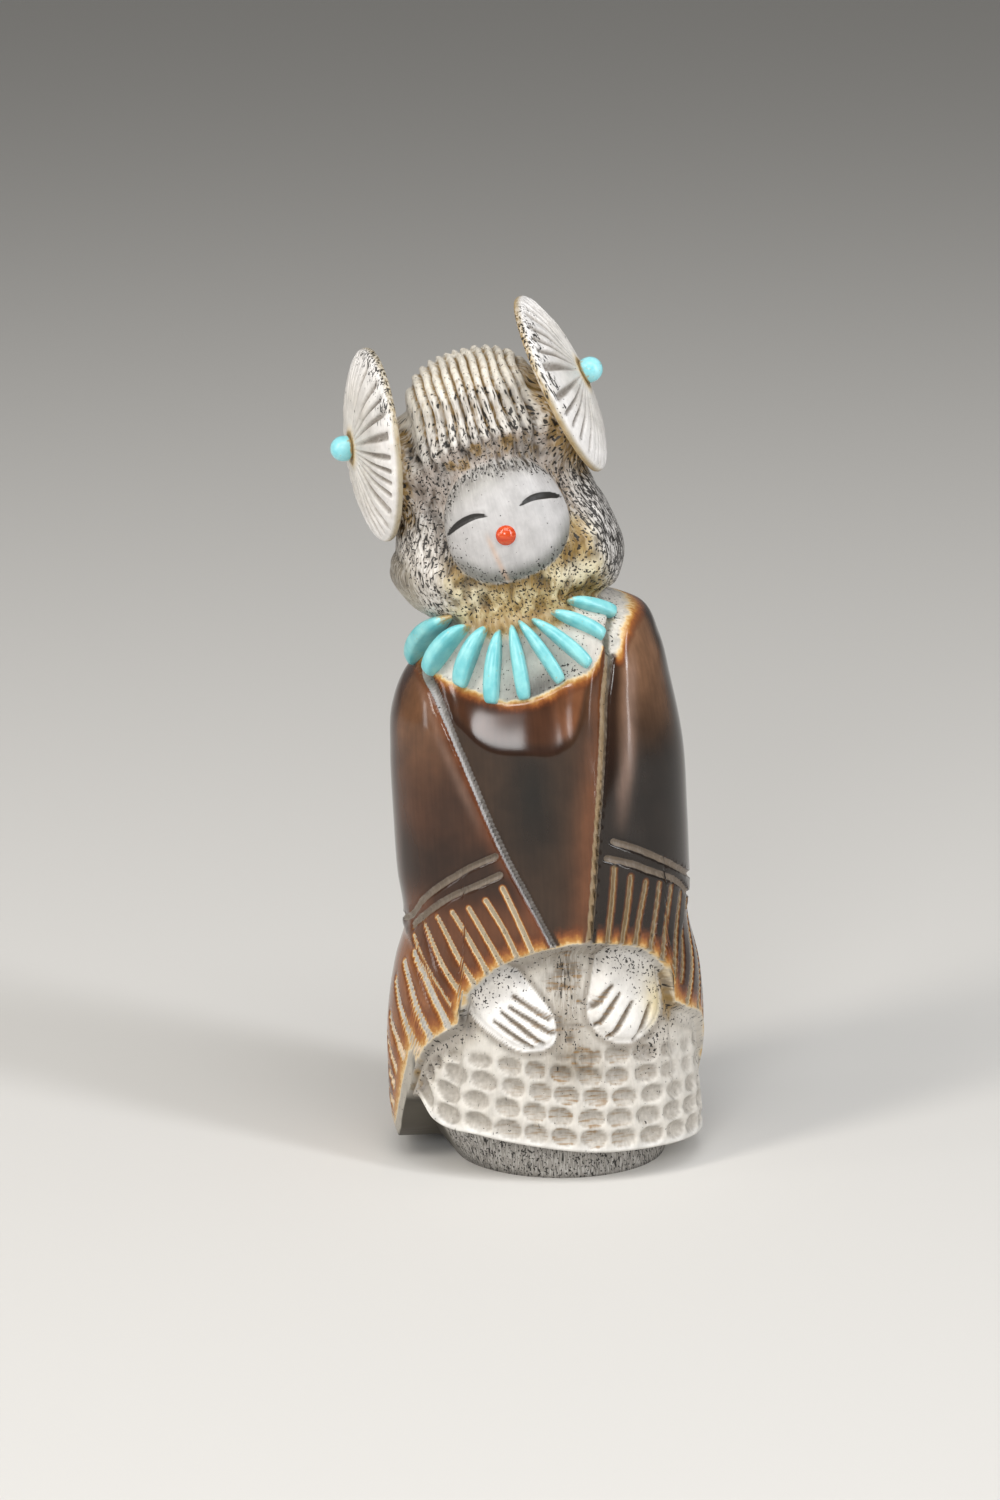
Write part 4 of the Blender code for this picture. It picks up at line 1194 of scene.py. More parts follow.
@dataclass(frozen=True)
class Head:
    """The head: a face set in a hollow in the hair, and strands over the crown."""

    column: Column
    middle: Point = (5.5, 90.2)
    tilt: float = 17.0
    yaw: float = 5.0
    reach: Point = (10.0, 7.9)
    narrowing: float = 0.1
    roundness: float = 2.45
    edge: float = 2.5
    dome: float = 0.7
    eye: Path = ((0, 2.3, 1.75), (1, 4.4, 2.05), (2, 6.9, 1.5), (3, 9.4, 0.35))
    eye_width: float = 0.95
    eye_depth: float = 0.5
    mouth: Point = (-0.7, -1.5)
    strand_pitch: float = 1.5
    strand_depth: float = 0.95
    bangs_line: float = 11.3
    bangs_droop: float = 0.03

    def frame(self) -> tuple[Array, Array, Array, Array]:
        """The head's own axes.

        Returns:
            Middle of the face, then the directions right, up and forward.
        """
        tilt, yaw = radians(self.tilt), radians(self.yaw)
        right = unit(np.array([cos(tilt) * cos(yaw), sin(yaw), sin(tilt)]))
        up = unit(np.cross(right, np.array([-sin(yaw), cos(yaw), 0.0])))
        return self.column.place(*self.middle), right, up, np.cross(right, up)

    def place(self, points: Array) -> tuple[Array, Array, Array]:
        """Distance of each point to the right of, above and in front of the face's middle.

        Args:
            points: places in millimetres.

        Returns:
            Three distances for each place.
        """
        middle, right, up, forward = self.frame()
        offset = points - middle
        return offset @ right, offset @ up, offset @ forward

    def radius(self, surface: Surface) -> Array:
        """Distance from the face's middle, 1 on its outline.

        Args:
            surface: the figure's skin.

        Returns:
            One value for each point.
        """
        across, up, _ = self.place(surface.skin)
        half_width = self.reach[0] * (1 - self.narrowing * ease(up, -3, 8))
        power = np.abs(across / half_width) ** self.roundness + np.abs(up / self.reach[1]) ** self.roundness
        return power ** (1 / self.roundness)

    def over_line(self, surface: Surface) -> Array:
        """Distance of each point above the uneven line at which the strands end over the brow."""
        across, up, _ = self.place(surface.skin)
        return up - self.bangs_line + self.bangs_droop * across**2 - 1.3 * Ripple(1.3, 22).at(surface.skin)

    def carve_form(self, surface: Surface) -> None:
        """Cut the face: a low dome in a hollow that is open to the throat below.

        Args:
            surface: the figure's skin.
        """
        across, up, front = self.place(surface.skin)
        radius = self.radius(surface)
        dome = self.dome + (self.edge - 0.4 - self.dome) * radius**3
        hollow = self.edge * ease(-radius, -1.3 - 0.22 * ease(up, 2, 9), -1.02)
        throat = self.edge * ease(-np.abs(across + 0.2), -12.0, -8.2) * ease(-up, 2, 5)
        hollow = np.maximum(hollow, throat * ease(surface.height, 76.5, 79.5))
        inside = ease(-radius, -1.03, -0.97)
        surface.form += np.where(front > -9, dome * inside + hollow * (1 - inside), 0.0)

    def carve(self, surface: Surface) -> None:
        """Cut the strands of hair and the closed eyes.

        Args:
            surface: the figure's skin.
        """
        across, up, front = self.place(surface.skin)
        wander = 0.4 * Ripple(4.0, 21).at(surface.skin)
        phase = (across + wander) / (1 - 0.012 * np.clip(up - 11, 0, 12)) / self.strand_pitch
        ridge = np.abs(np.sin(np.pi * phase))
        split = np.abs(np.sin(np.pi * (2.35 * phase + 0.3)))
        rope = Ripple(0.9, 24).at(surface.skin * np.array([1.0, 1.0, 0.45]))
        over = ease(self.over_line(surface), -2.4, 1.2) * ease(surface.height, 76, 79)
        beside = ease(np.abs(across), 9.0, 11.0) * ease(up, -8, 4) * ease(surface.height, 76, 79)
        over = np.maximum(over, 0.55 * beside)
        depth = self.strand_depth * (1 + 0.35 * Ripple(1.6, 23).at(surface.skin))
        surface.fine += over * (depth * (1 - ridge) ** 1.2 + 0.12 * (1 - split) ** 2 + 0.07 * rope)
        surface.deepen(0.8 * ease(1 - ridge, 0.3, 0.85) * over)
        fray = band(self.over_line(surface), -4.0, 0.6, 1.4) * ease(front, -8, -5)
        fray = fray * ease(surface.height, 80, 84)
        tuft = Ripple(0.9, 27).at(surface.skin * np.array([1.0, 1.0, 0.5]))
        surface.fine += 0.35 * fray * tuft
        surface.deepen(0.9 * fray * ease(tuft, 0.1, 0.7))
        surface.amber = np.maximum(surface.amber, 0.66 * ease(1 - ridge, 0.3, 0.85) * over * ease(up, 10, 14))
        flat = np.stack([across, up, 0 * front], axis=-1)
        flat[front < -8] = FAR
        for side in Side:
            line = Curve([(at, side.value * x, z) for at, x, z in self.eye])
            steps = np.linspace(0, len(self.eye) - 1, 17)
            points = np.column_stack([line(steps), 0 * steps])
            far = surface.distance(points, 2.0, flat)
            along = np.clip((side.value * across - self.eye[0][1]) / (self.eye[-1][1] - self.eye[0][1]), 0, 1)
            half = self.eye_width / 2 * (0.2 + 0.8 * np.sin(pi * along) ** 0.6)
            surface.slit = np.maximum(surface.slit, half - far)
            surface.fine += self.eye_depth * np.clip((half - far) / half, 0, 1)

    def paint(self, surface: Surface, robe: Robe) -> None:
        """Colour the face, the hair and the throat.

        Args:
            surface: the figure's skin.
            robe: gives the bib's edge.
        """
        dress = surface.dress
        across, up, front = self.place(surface.skin)
        height = surface.height
        radius = self.radius(surface)
        head = ease(height, 77, 79)
        dress(head, "#c4bdb2", pits=0.5, dashes=0.62)
        crown = head * ease(up, 11, 15)
        dress(crown, "#e0dacd", pits=0.4, dashes=0.52)
        surface.amber = np.maximum(surface.amber, 0.3 * crown)
        dress(crown * ease(up, 16, 21), dashes=0.3)
        left_side = head * ease(-across, 8.5, 11) * ease(-up, -14, -6)
        dress(left_side, "#b9b2a9", pits=0.7, dashes=0.84)
        right_side = head * ease(across, 8.5, 11) * ease(-up, -10, 2)
        dress(right_side, "#a9a5a0", pits=0.85, dashes=1.0)
        bangs = head * band(self.over_line(surface), -1.2, 7.0, 3.0) * ease(front, -9, -5)
        dress(bangs, "#cdc7be", dashes=0.72)
        dress(bangs * ease(-self.over_line(surface), -3.5, -0.5), dashes=0.88)
        # The hair's lower left corner and far left edge are darker as painted shade.
        corner = head * ease(-across, 13, 15) * ease(-up, 0, 4)
        dress(corner, "#9d9585", pits=0.3, dashes=0.4)
        dress(head * ease(-across, 14.2, 15.2) * ease(-up, -2, 2) * ease(up, -7, -5), "#7f776a")
        on_front = ease(front, -9, -7)
        limit = 1.12 + 0.32 * ease(up, 1, 8)
        ramp = on_front * ease(radius, 0.95, 1.05) * ease(limit - radius, -0.08, 0.08)
        patch = Ripple(1.8, 44).at(surface.skin)
        dress(ramp, "#b0a49a", pits=0.8, dashes=0.3)
        dress(0.8 * ramp * ease(patch, 0.0, 0.7), "#86807a")
        dress(ramp * ease(-up, -6, 1), pits=0.9, dashes=0.7)
        dress(ramp * ease(across, -8, 2), amber=0.36)
        # Painted shadow darkens the hollow round the face on its left and right.
        dress(0.8 * ramp * ease(-across, 6.5, 9) * ease(-up, -5, 2), "#79736b")
        dress(0.7 * ramp * ease(across, 7, 9) * ease(-up, -5, 2), "#85796a")
        for spot, size in (((-1.1, 10.2), 0.9), ((-3.8, 8.5), 0.9), ((-5.6, 8.9), 0.8), ((3.6, 9.6), 0.9)):
            far = np.hypot(across - spot[0], up - spot[1]) / size
            dress(ramp * np.exp(-(far**2)), amber=0.95)
        throat = on_front * ease(radius, 1.0, 1.05) * ease(-up, 1.5, 4.5) * ease(-np.abs(across), -12, -9.5)
        throat = throat * ease(height, 75.5, 77.5)
        dress(throat, "#b7a578", pits=0.8, dashes=0.1, amber=0.52)
        lump = Ripple(1.0, 43).at(surface.skin * np.array([1.0, 1.0, 0.55]))
        surface.fine += 0.55 * throat * lump
        dress(0.8 * throat * ease(-lump, 0.0, 0.4), "#e6d9b2")
        surface.deepen(throat * ease(lump, 0.05, 0.45))
        # Painted shade, dark brown, under the chin.
        under = throat * ease(-radius, -1.25, -1.05) * ease(-across, -5, -1)
        dress(0.9 * under, "#6f5526")
        lower_right = throat * hump(across, 8.5, 2.5) * hump(up, -5.5, 3.0)
        dress(lower_right, amber=0.85)
        # Cream lumps on the throat, painted lighter and with less painted shade where the wall turns from the
        # light.
        cream = throat * hump(across, 8.0, 3.0) * hump(up, -9.8, 1.8)
        cream = np.maximum(cream, throat * 0.7 * hump(across, -8.5, 2.0) * hump(up, -8.5, 2.5))
        dress(cream, "#ece2c6", amber=0.2)
        surface.hollow = surface.hollow * (1 - 0.75 * cream)
        face = on_front * ease(-radius, -1.02, -0.98)
        dress(face, "#bbb9b8", pits=0.2, dashes=0.1, amber=0.0)
        # Painted shade greys the face's top, under the hair.
        dress(face * ease(up - 0.2 * across, 3.0, 8.0), "#98958f")
        border = face * ease(radius + 0.1 * Ripple(2.0, 26).at(surface.skin), 0.68, 1.0)
        dress(border * ease(-across, -6, 0), pits=0.75)
        dress(border * ease(up, 2.0, 5.0), pits=1.0)
        dress(border * ease(up - 0.2 * across, 1.0, 4.0), dashes=0.55)
        # Painted shade darkens the upper border too.
        dress(0.7 * border * ease(up - 0.3 * across, 1.0, 5.0), "#7c7974")
        dress(border * ease(-up, 3, 6), pits=0.8)
        # Painted shade darkens the face's lower edge and its left side.
        dress(0.95 * face * ease(radius, 0.66, 0.92) * ease(-up, 1, 5), "#70716b")
        dress(0.7 * face * ease(radius, 0.8, 1.0) * ease(-across, 2, 6), "#8d8a86")
        streak = face * np.exp(-(((across + 3.4 + 0.12 * up) / 0.35) ** 2)) * ease(-up, 0, 2)
        dress(0.5 * streak, "#c9a283")
        self.paint_bib(surface, robe)

    def paint_bib(self, surface: Surface, robe: Robe) -> None:
        """Colour the neck and the bib that the necklace lies on.

        Args:
            surface: the figure's skin.
            robe: gives the bib's edge.
        """
        dress = surface.dress
        azimuth, height = surface.azimuth, surface.height
        above = height - Curve(robe.bib_edge)(azimuth)
        bib = ease(above, -0.2, 0.3) * ease(-height, -78, -76)
        dress(bib, "#c9c3ba", pits=0.42)
        # Painted shade on the bib between and under the tabs.
        dress(0.9 * bib * hump(azimuth, 3, 17) * ease(-above, -4.5, -0.5), "#4a4944")
        dress(bib * hump(azimuth, 19, 9) * ease(-above, -3.2, -0.8), pits=0.95)
        right = bib * ease(azimuth, 35, 50)
        dress(right, "#d0cbc2", pits=0.66)
        dress(right * ease(-height, -77, -74), amber=0.3)
        neck = bib * ease(height, 74.0, 76.5) * ease(-np.abs(azimuth), -50, -20)
        dress(0.75 * neck, "#c0a463")
        dress(neck, amber=0.75)


# ---- hair discs


@dataclass(frozen=True)
class Whorl:
    """A fluted disc of antler glued to the side of the hair, with a bead on it.

    Attributes:
        side: which side of the head it is on.
        middle: middle of its flat inner face.
        lean: of its plane to the left, in degrees.
        turn: of its face to the front, in degrees.
        radius: of the disc.
        speckled: direction in its plane, in degrees from its top, in which the pores of the
            antler's outside still show.
        ochre: how strongly its rim is stained.
    """

    side: Side
    middle: Point
    lean: float
    turn: float
    radius: float
    speckled: float
    ochre: float
    rise: float = 4.0
    rim: float = 1.0
    flutes: int = 30
    flute_width: float = 1.0
    flute_depth: float = 0.75
    facet_tilt: float = 0.3
    seat_radius: float = 5.6
    seat_fade: float = 2.6
    seat_drop: float = 4.0
    bead_radius: float = 1.7

    @property
    def name(self) -> str:
        """The side in lower case, as the solids are named."""
        return self.side.name.lower()

    def frame(self) -> tuple[Array, Array, Array, Array]:
        """The disc's own axes.

        Returns:
            Middle of the inner face, then the directions beside, up and outward.
        """
        lean, turn = radians(self.lean), radians(self.turn)
        up = np.array([-sin(lean), 0.0, cos(lean)])
        out = self.side.value * cos(turn) * np.array([cos(lean), 0.0, sin(lean)])
        out = out + np.array([0.0, -sin(turn), 0.0])
        return np.array(self.middle), np.cross(up, out), up, out

    def stand(self, piece: Piece) -> Array:
        """Move a piece made on the Z axis to its place on the hair.

        Args:
            piece: the mesh object, in metres, with +Z outward and +Y up.

        Returns:
            Where its points were, in millimetres.
        """
        local = points_of(piece) / MM
        middle, beside, up, out = self.frame()
        world = middle + local[:, :1] * beside + local[:, 1:2] * up + local[:, 2:] * out
        move_points(piece, world * MM)
        return local

    def seat(self, points: Array) -> Array:
        """Bring the side of the hair out to a flat seat behind the disc.

        Args:
            points: places on the hair.

        Returns:
            The same places, lifted where the disc sits.
        """
        middle, _, up, out = self.frame()
        offset = points - middle
        along = offset @ out
        flat = offset - along[..., None] * out
        beside = np.linalg.norm(flat, axis=-1)
        under = np.linalg.norm(flat + self.seat_drop * up, axis=-1)
        near = ease(along, -11, -8) * ease(-under, -self.seat_radius - self.seat_fade, -self.seat_radius)
        lift = np.maximum(-along, 0.0) * near
        lift = np.where((along > 0) & (beside < self.radius + 1), -along, lift)
        return points + lift[..., None] * out

    def glued(self, points: Array) -> Array:
        """1 on the hair right beside the disc, where the glue shows, 0 away from it.

        Args:
            points: places on the hair.

        Returns:
            Values from 0 to 1.
        """
        middle, _, _, out = self.frame()
        offset = points - middle
        along = offset @ out
        beside = np.linalg.norm(offset - along[..., None] * out, axis=-1)
        return ease(along, -3.4, -0.6) * ease(-beside, -self.radius - 1.0, -self.radius + 1.5)

    def build(self, finish: Finish) -> Piece:
        """Turn the disc, cut its flutes and stand it against the hair.

        Args:
            finish: the carved antler.

        Returns:
            The disc.
        """
        size, rise, rim = self.radius, self.rise, self.rim
        profile = [(size - 0.5, 0.0), (size - 0.15, 0.08), (size, 0.35), (size, rim - 0.3),
                   (size - 0.2, rim + 0.1), (size - 0.6, rim + 0.45)]
        dome = Curve(((0.0, rise + 0.25), (0.2, rise), (0.45, 0.88 * rise), (0.7, 0.72 * rise),
                      (0.93, rim + 0.75)))
        profile += [(share * size, float(dome(share))) for share in np.linspace(0.91, 0.03, 20)]
        profile.append((0.0, rise + 0.25))
        disc = turned_piece(f"hair_whorl_{self.name}_carved", profile, 12 * self.flutes)
        local = points_of(disc) / MM
        share = np.hypot(local[:, 0], local[:, 1]) / size
        turn = np.arctan2(local[:, 0], local[:, 1])
        on_face = ease(local[:, 2], rim, rim + 0.4)
        uneven = 0.07 * np.sin(3 * turn + 1) + 0.05 * np.sin(7 * turn)
        phase = self.flutes * (turn + uneven) / 2
        away = np.abs(np.sin(phase)) * 2 * share * size / self.flutes
        half = self.flute_width / 2 * np.clip(1.25 * share, 0.2, 1)
        reach = ease(share, 0.14, 0.3) * ease(-share, -0.95 + 0.02 * np.sin(5 * turn), -0.9) * on_face
        flute = (1 - np.clip(away / half, 0, 1) ** 2) * reach * np.clip(1.3 * share, 0.2, 1)
        tilt = (phase / np.pi) % 1
        local[:, 2] -= self.flute_depth * flute + self.facet_tilt * tilt * share * reach
        move_points(disc, local * MM)
        self.stand(disc)
        fibre = Ripple(1.6, 31).at(local)
        on_rim = ease(share, 0.96, 0.985) * ease(-local[:, 2], -rim - 0.1, -rim + 0.4)
        colour = np.zeros((len(local), 3))
        for tint, cover in (
            ("#d2cec8", 1.0),
            ("#e8e5e2", ease(share, 0.5, 0.95)),
            ("#c4bdb2", 0.4 * ease(fibre, 0.2, 0.8)),
            ("#cdb58a", 0.8 * ease(-share, -0.26, -0.14) * on_face),
            ("#aba088", on_rim),
            ("#b3935a", self.ochre * on_rim * ease(-local[:, 2], -0.9, -0.3)),
        ):
            colour = tinted(colour, tint, cover)
        toward = np.cos(turn - radians(self.speckled))
        note(disc, "grain", local[:, (0, 2, 1)] * MM)
        note(disc, "core", colour)
        speckle = ease(share, 0.72, 0.92) * ease(toward + 0.15 * fibre, 0.55, 0.95)
        note(disc, "pits", 0.16 + 0.4 * speckle + 0.12 * ease(fibre, 0, 0.6))
        note(disc, "dashes", 0.1 + 0.72 * speckle)
        # The flutes are darkened, partly dust and partly painted shade.
        note(disc, "hollow", 0.62 * ease(flute, 0.1, 0.7))
        note(disc, "streak", 0 * share)
        note(disc, "amber", np.maximum(0.9 * ease(-share, -0.2, -0.15) * on_face, 0.3 * on_rim))
        settle(disc, finish, f"hair_whorl_{self.name}")
        return disc

    def build_bead(self, finish: Finish) -> Piece:
        """Turn the bead on its post.

        Args:
            finish: the turquoise.

        Returns:
            The bead.
        """
        size, base = self.bead_radius, self.rise + 0.15
        profile = [(0.8 * size, base - 0.7), (0.84 * size, base - 0.1), (0.95 * size, base + 0.1)]
        profile += [(size, base + 0.35), (size, base + 0.9)]
        for angle in np.linspace(0.12, pi / 2, 10):
            profile.append((size * cos(angle), base + 0.9 + size * sin(angle)))
        bead = turned_piece(f"whorl_bead_{self.name}_polished", profile, 32)
        local = self.stand(bead)
        low = ease(-local[:, 2], -base - 0.6, -base + 0.1) * 0.9
        note(bead, "glue", low)
        settle(bead, finish, f"whorl_bead_{self.name}")
        return bead


# ---- the figure


@dataclass(frozen=True)
class Figure:
    """The figure, carved from one piece of antler."""

    columns: int = 288
    row_counts: tuple[int, ...] = (6, 80, 79, 36, 104)
    crown_rows: int = 34
    waist: float = 50.0
    chest: float = 64.0
    column: Column = Column()
    robe: Robe = Robe()
    skirt: Skirt = Skirt()
    hands: Hands = Hands()

    def surface(self) -> Surface:
        """Lay out rows of points that follow the rim and the hem.

        Returns:
            The uncarved skin.
        """
        turn = np.linspace(-1, 1, self.columns, endpoint=False)
        azimuth = 180 * (0.62 * turn + 0.38 * turn**3)
        level = np.ones(self.columns)
        step = self.robe.step
        marks = (0 * level, Curve(self.skirt.rim)(azimuth), self.robe.hem(azimuth), self.waist * level,
                 self.chest * level, self.column.crown_start * level)
        rows: list[Array] = []
        for start, end, count in zip(marks, marks[1:], self.row_counts):
            low = start + (step / 2 if rows else 0)
            high = end - step / 2
            rows += [low + (high - low) * number / count for number in range(count + 1)]
        crown = np.sin(np.linspace(0.06, 1.52, self.crown_rows)) ** self.column.crown_power
        rows += [(self.column.crown_start + self.column.crown_rise * share) * level for share in crown]
        heights = np.array(rows)
        return Surface(self.column, np.broadcast_to(azimuth, heights.shape).copy(), heights)

    def carve(self, head: Head, whorls: Sequence[Whorl]) -> tuple[Surface, Array, Array]:
        """Carve and paint the column.

        Args:
            head: the head's sizes.
            whorls: the discs that the hair seats.

        Returns:
            The surface, its points with the large forms alone, and its finished points.
        """
        surface = self.surface()
        self.robe.paint(surface)
        self.skirt.paint(surface, self.robe)
        head.paint(surface, self.robe)
        self.robe.carve_form(surface)
        self.skirt.carve_form(surface, self.robe, self.hands)
        self.robe.cut_bib(surface)
        head.carve_form(surface)
        inward = unit(self.column.spine(surface.height) - surface.skin)
        form = surface.skin + surface.form[..., None] * inward
        for whorl in whorls:
            form = whorl.seat(form)
            glued = whorl.glued(form)
            surface.dress(0.8 * glued, "#8a7148")
            surface.dress(glued, amber=0.85)
        on_core = ease(self.robe.hem(surface.azimuth) - surface.height, -0.1, 0.05)
        on_core = on_core * self.skirt.open_front(surface.azimuth)
        self.robe.carve_lines(surface)
        self.hands.paint(surface, on_core)
        self.hands.carve(surface, on_core)
        self.skirt.carve(surface, self.robe, self.hands)
        head.carve(surface)
        round_way = np.roll(form, -1, axis=1) - np.roll(form, 1, axis=1)
        inward = unit(np.cross(np.gradient(form, axis=0), round_way))
        finished = form + surface.fine[..., None] * inward
        finished[0] = form[0]
        finished[0, :, 2] = 0.0
        return surface, form, finished

    def build(self, head: Head, whorls: Sequence[Whorl], finish: Finish) -> Seats:
        """Make the figure's mesh and dress it.

        Args:
            head: the head's sizes.
            whorls: the discs that the hair seats.
            finish: the polished antler.

        Returns:
            Where other pieces sit on it.
        """
        surface, form, finished = self.carve(head, whorls)
        rows, count = finished.shape[:2]
        deselect_all()
        bpy.ops.mesh.primitive_grid_add(x_subdivisions=count, y_subdivisions=rows - 1, size=0.1)
        piece = bpy.context.object
        piece.name = "antler_figure_carved"

        def spread(values: Array) -> Array:
            """One value for each point of the grid, whose last column meets its first."""
            wide = np.concatenate([values, values[:, :1]], axis=1)
            return wide.reshape(rows * (count + 1), *values.shape[2:])

        move_points(piece, spread(finished) * MM)
        note(piece, "grain", spread(self.column.grain(surface.azimuth, surface.height)) * MM)
        note(piece, "bark", spread(surface.colour[Coat.BARK]))
        note(piece, "core", spread(surface.colour[Coat.CORE]))
        for name in ("rind", "pits", "dashes", "amber", "hollow", "streak", "cool", "slit"):
            note(piece, name, spread(getattr(surface, name)))
        place = np.arange(rows * (count + 1)) % (count + 1)
        choose(piece, (place == 0) | (place == count))
        bpy.ops.mesh.remove_doubles(threshold=TOUCH)
        bpy.ops.object.mode_set(mode="OBJECT")
        total = len(piece.data.vertices)
        choose(piece, np.arange(total) >= total - count)
        bpy.ops.mesh.merge(type="CENTER")
        bpy.ops.object.mode_set(mode="OBJECT")
        choose(piece, points_of(piece)[:, 2] < TOUCH, "EDGE")
        bpy.ops.mesh.edge_face_add()
        bpy.ops.object.mode_set(mode="OBJECT")
        settle(piece, finish, "antler_figure")
        return Seats(surface, form)


@dataclass(frozen=True)
class Seats:
    """Where pieces sit on the figure's large forms."""

    surface: Surface
    form: Array

    def at(self, azimuth: float, height: float) -> tuple[Array, Array]:
        """A point on the figure and the way out of it there.

        Args:
            azimuth: degrees round the column.
            height: height on the spine.

        Returns:
            The point and a unit vector.
        """
        row_heights = self.surface.height
        column = int(np.argmin(np.abs(self.surface.azimuth[0] - azimuth)))
        row = int(np.argmin(np.abs(row_heights[:, column] - height)))
        beside = self.form[row, column + 2] - self.form[row, column - 2]
        upward = self.form[row + 2, column] - self.form[row - 2, column]
        return self.form[row, column], unit(np.cross(beside, upward))


# ---- stones


@dataclass(frozen=True)
class Necklace:
    """Nine turquoise tabs let into the chest, each a thick crescent on edge."""

    tabs: tuple[tuple[Point, Point], ...] = (
        ((-46, 78.3), (-84, 73.0)), ((-39.5, 76.8), (-60, 71.9)), ((-27, 76.4), (-41.5, 70.1)),
        ((-18.5, 75.8), (-24, 67.2)), ((-7.5, 76.2), (-5.5, 67.4)), ((-0.5, 76.6), (16.5, 68.6)),
        ((9.5, 76.7), (31.5, 70.2)), ((24.5, 77.0), (44.5, 72.9)), ((40, 78.0), (61, 74.8)),
    )
    thickness: Point = (2.9, 2.5, 2.6, 2.4, 2.3, 2.1, 2.1, 2.1, 2.1)
    bend: Point = (0.9, 0.7, 0.6, 0.3, -0.1, -0.2, -0.3, -0.2, -0.1)
    proud: Point = (3.0, 2.9, 2.6, 2.4, 2.3, 2.2, 2.0, 1.8, 1.5)
    taper: float = 0.5
    sunk: float = 1.3
    overhang: float = 0.5

    def build_tab(self, number: int, seats: Seats, finish: Finish) -> Piece:
        """Model one tab.

        Args:
            number: from 1 on the left.
            seats: where it sits.
            finish: the turquoise.

        Returns:
            The tab.
        """
        (top, top_out), (end, end_out) = (seats.at(*place) for place in self.tabs[number - 1])
        length = float(np.linalg.norm(end - top))
        along = unit(end - top)
        out = unit(top_out + end_out)
        out = unit(out - (out @ along) * along)
        thick = np.cross(along, out)
        deselect_all()
        bpy.ops.mesh.primitive_uv_sphere_add(segments=28, ring_count=26, radius=1.0)
        piece = bpy.context.object
        piece.name = f"necklace_tab_{number}_polished"
        ball = points_of(piece)
        height = np.clip(ball[:, 2], -1, 1)
        girth = np.sqrt(1 - height**2)
        turn = np.arctan2(ball[:, 1], ball[:, 0])
        wide = np.sign(np.cos(turn)) * np.abs(np.cos(turn)) ** 0.5
        tall = np.sign(np.sin(turn)) * np.abs(np.sin(turn)) ** 0.6
        share = (height + 1) / 2
        full = girth ** (0.8 - 0.45 * share)
        x = (length / 2 + self.overhang) * np.sign(height) * np.abs(height) ** 0.92
        thickness, bend = self.thickness[number - 1], self.bend[number - 1]
        y = thickness / 2 * wide * full * (self.taper + (1 - self.taper) * share**0.6)
        y += bend * (0.6 - height**2)
        z = np.where(tall > 0, self.proud[number - 1] * tall, self.sunk * tall) * full
        world = (top + end) / 2 + np.column_stack([x, y, z]) @ np.stack([along, thick, out])
        move_points(piece, world * MM)
        glued = 0.75 if number < 4 else 0.5
        note(piece, "glue", glued * ease(-share, -0.3, 0.0) * ease(-z, -2.4, -0.6))
        settle(piece, finish, f"necklace_tab_{number}")
        return piece


@dataclass(frozen=True)
class Mouth:
    """The coral dot let into the face."""

    radius: float = 1.5
    sunk: float = 0.45

    def build(self, head: Head, finish: Finish) -> Piece:
        """Model the dot.

        Args:
            head: the head's sizes.
            finish: the coral.

        Returns:
            The dot.
        """
        middle, right, up, forward = head.frame()
        centre = middle + head.mouth[0] * right + head.mouth[1] * up
        centre = centre - (head.dome + 0.1 + self.sunk) * forward
        profile = [(self.radius * 0.9, -0.6), (self.radius, 0.0)]
        for angle in np.linspace(0.15, pi / 2, 10):
            profile.append((self.radius * cos(angle), 0.95 * self.radius * sin(angle)))
        dot = turned_piece("coral_mouth_polished", profile, 40)
        local = points_of(dot) / MM
        world = centre + local @ np.stack([right, up, forward])
        move_points(dot, world * MM)
        settle(dot, finish, "coral_mouth")
        return dot


# ---- finishes


def per(millimetres: float) -> float:
    """The texture scale at which a pattern repeats after that many millimetres."""
    return 1 / (millimetres * MM)


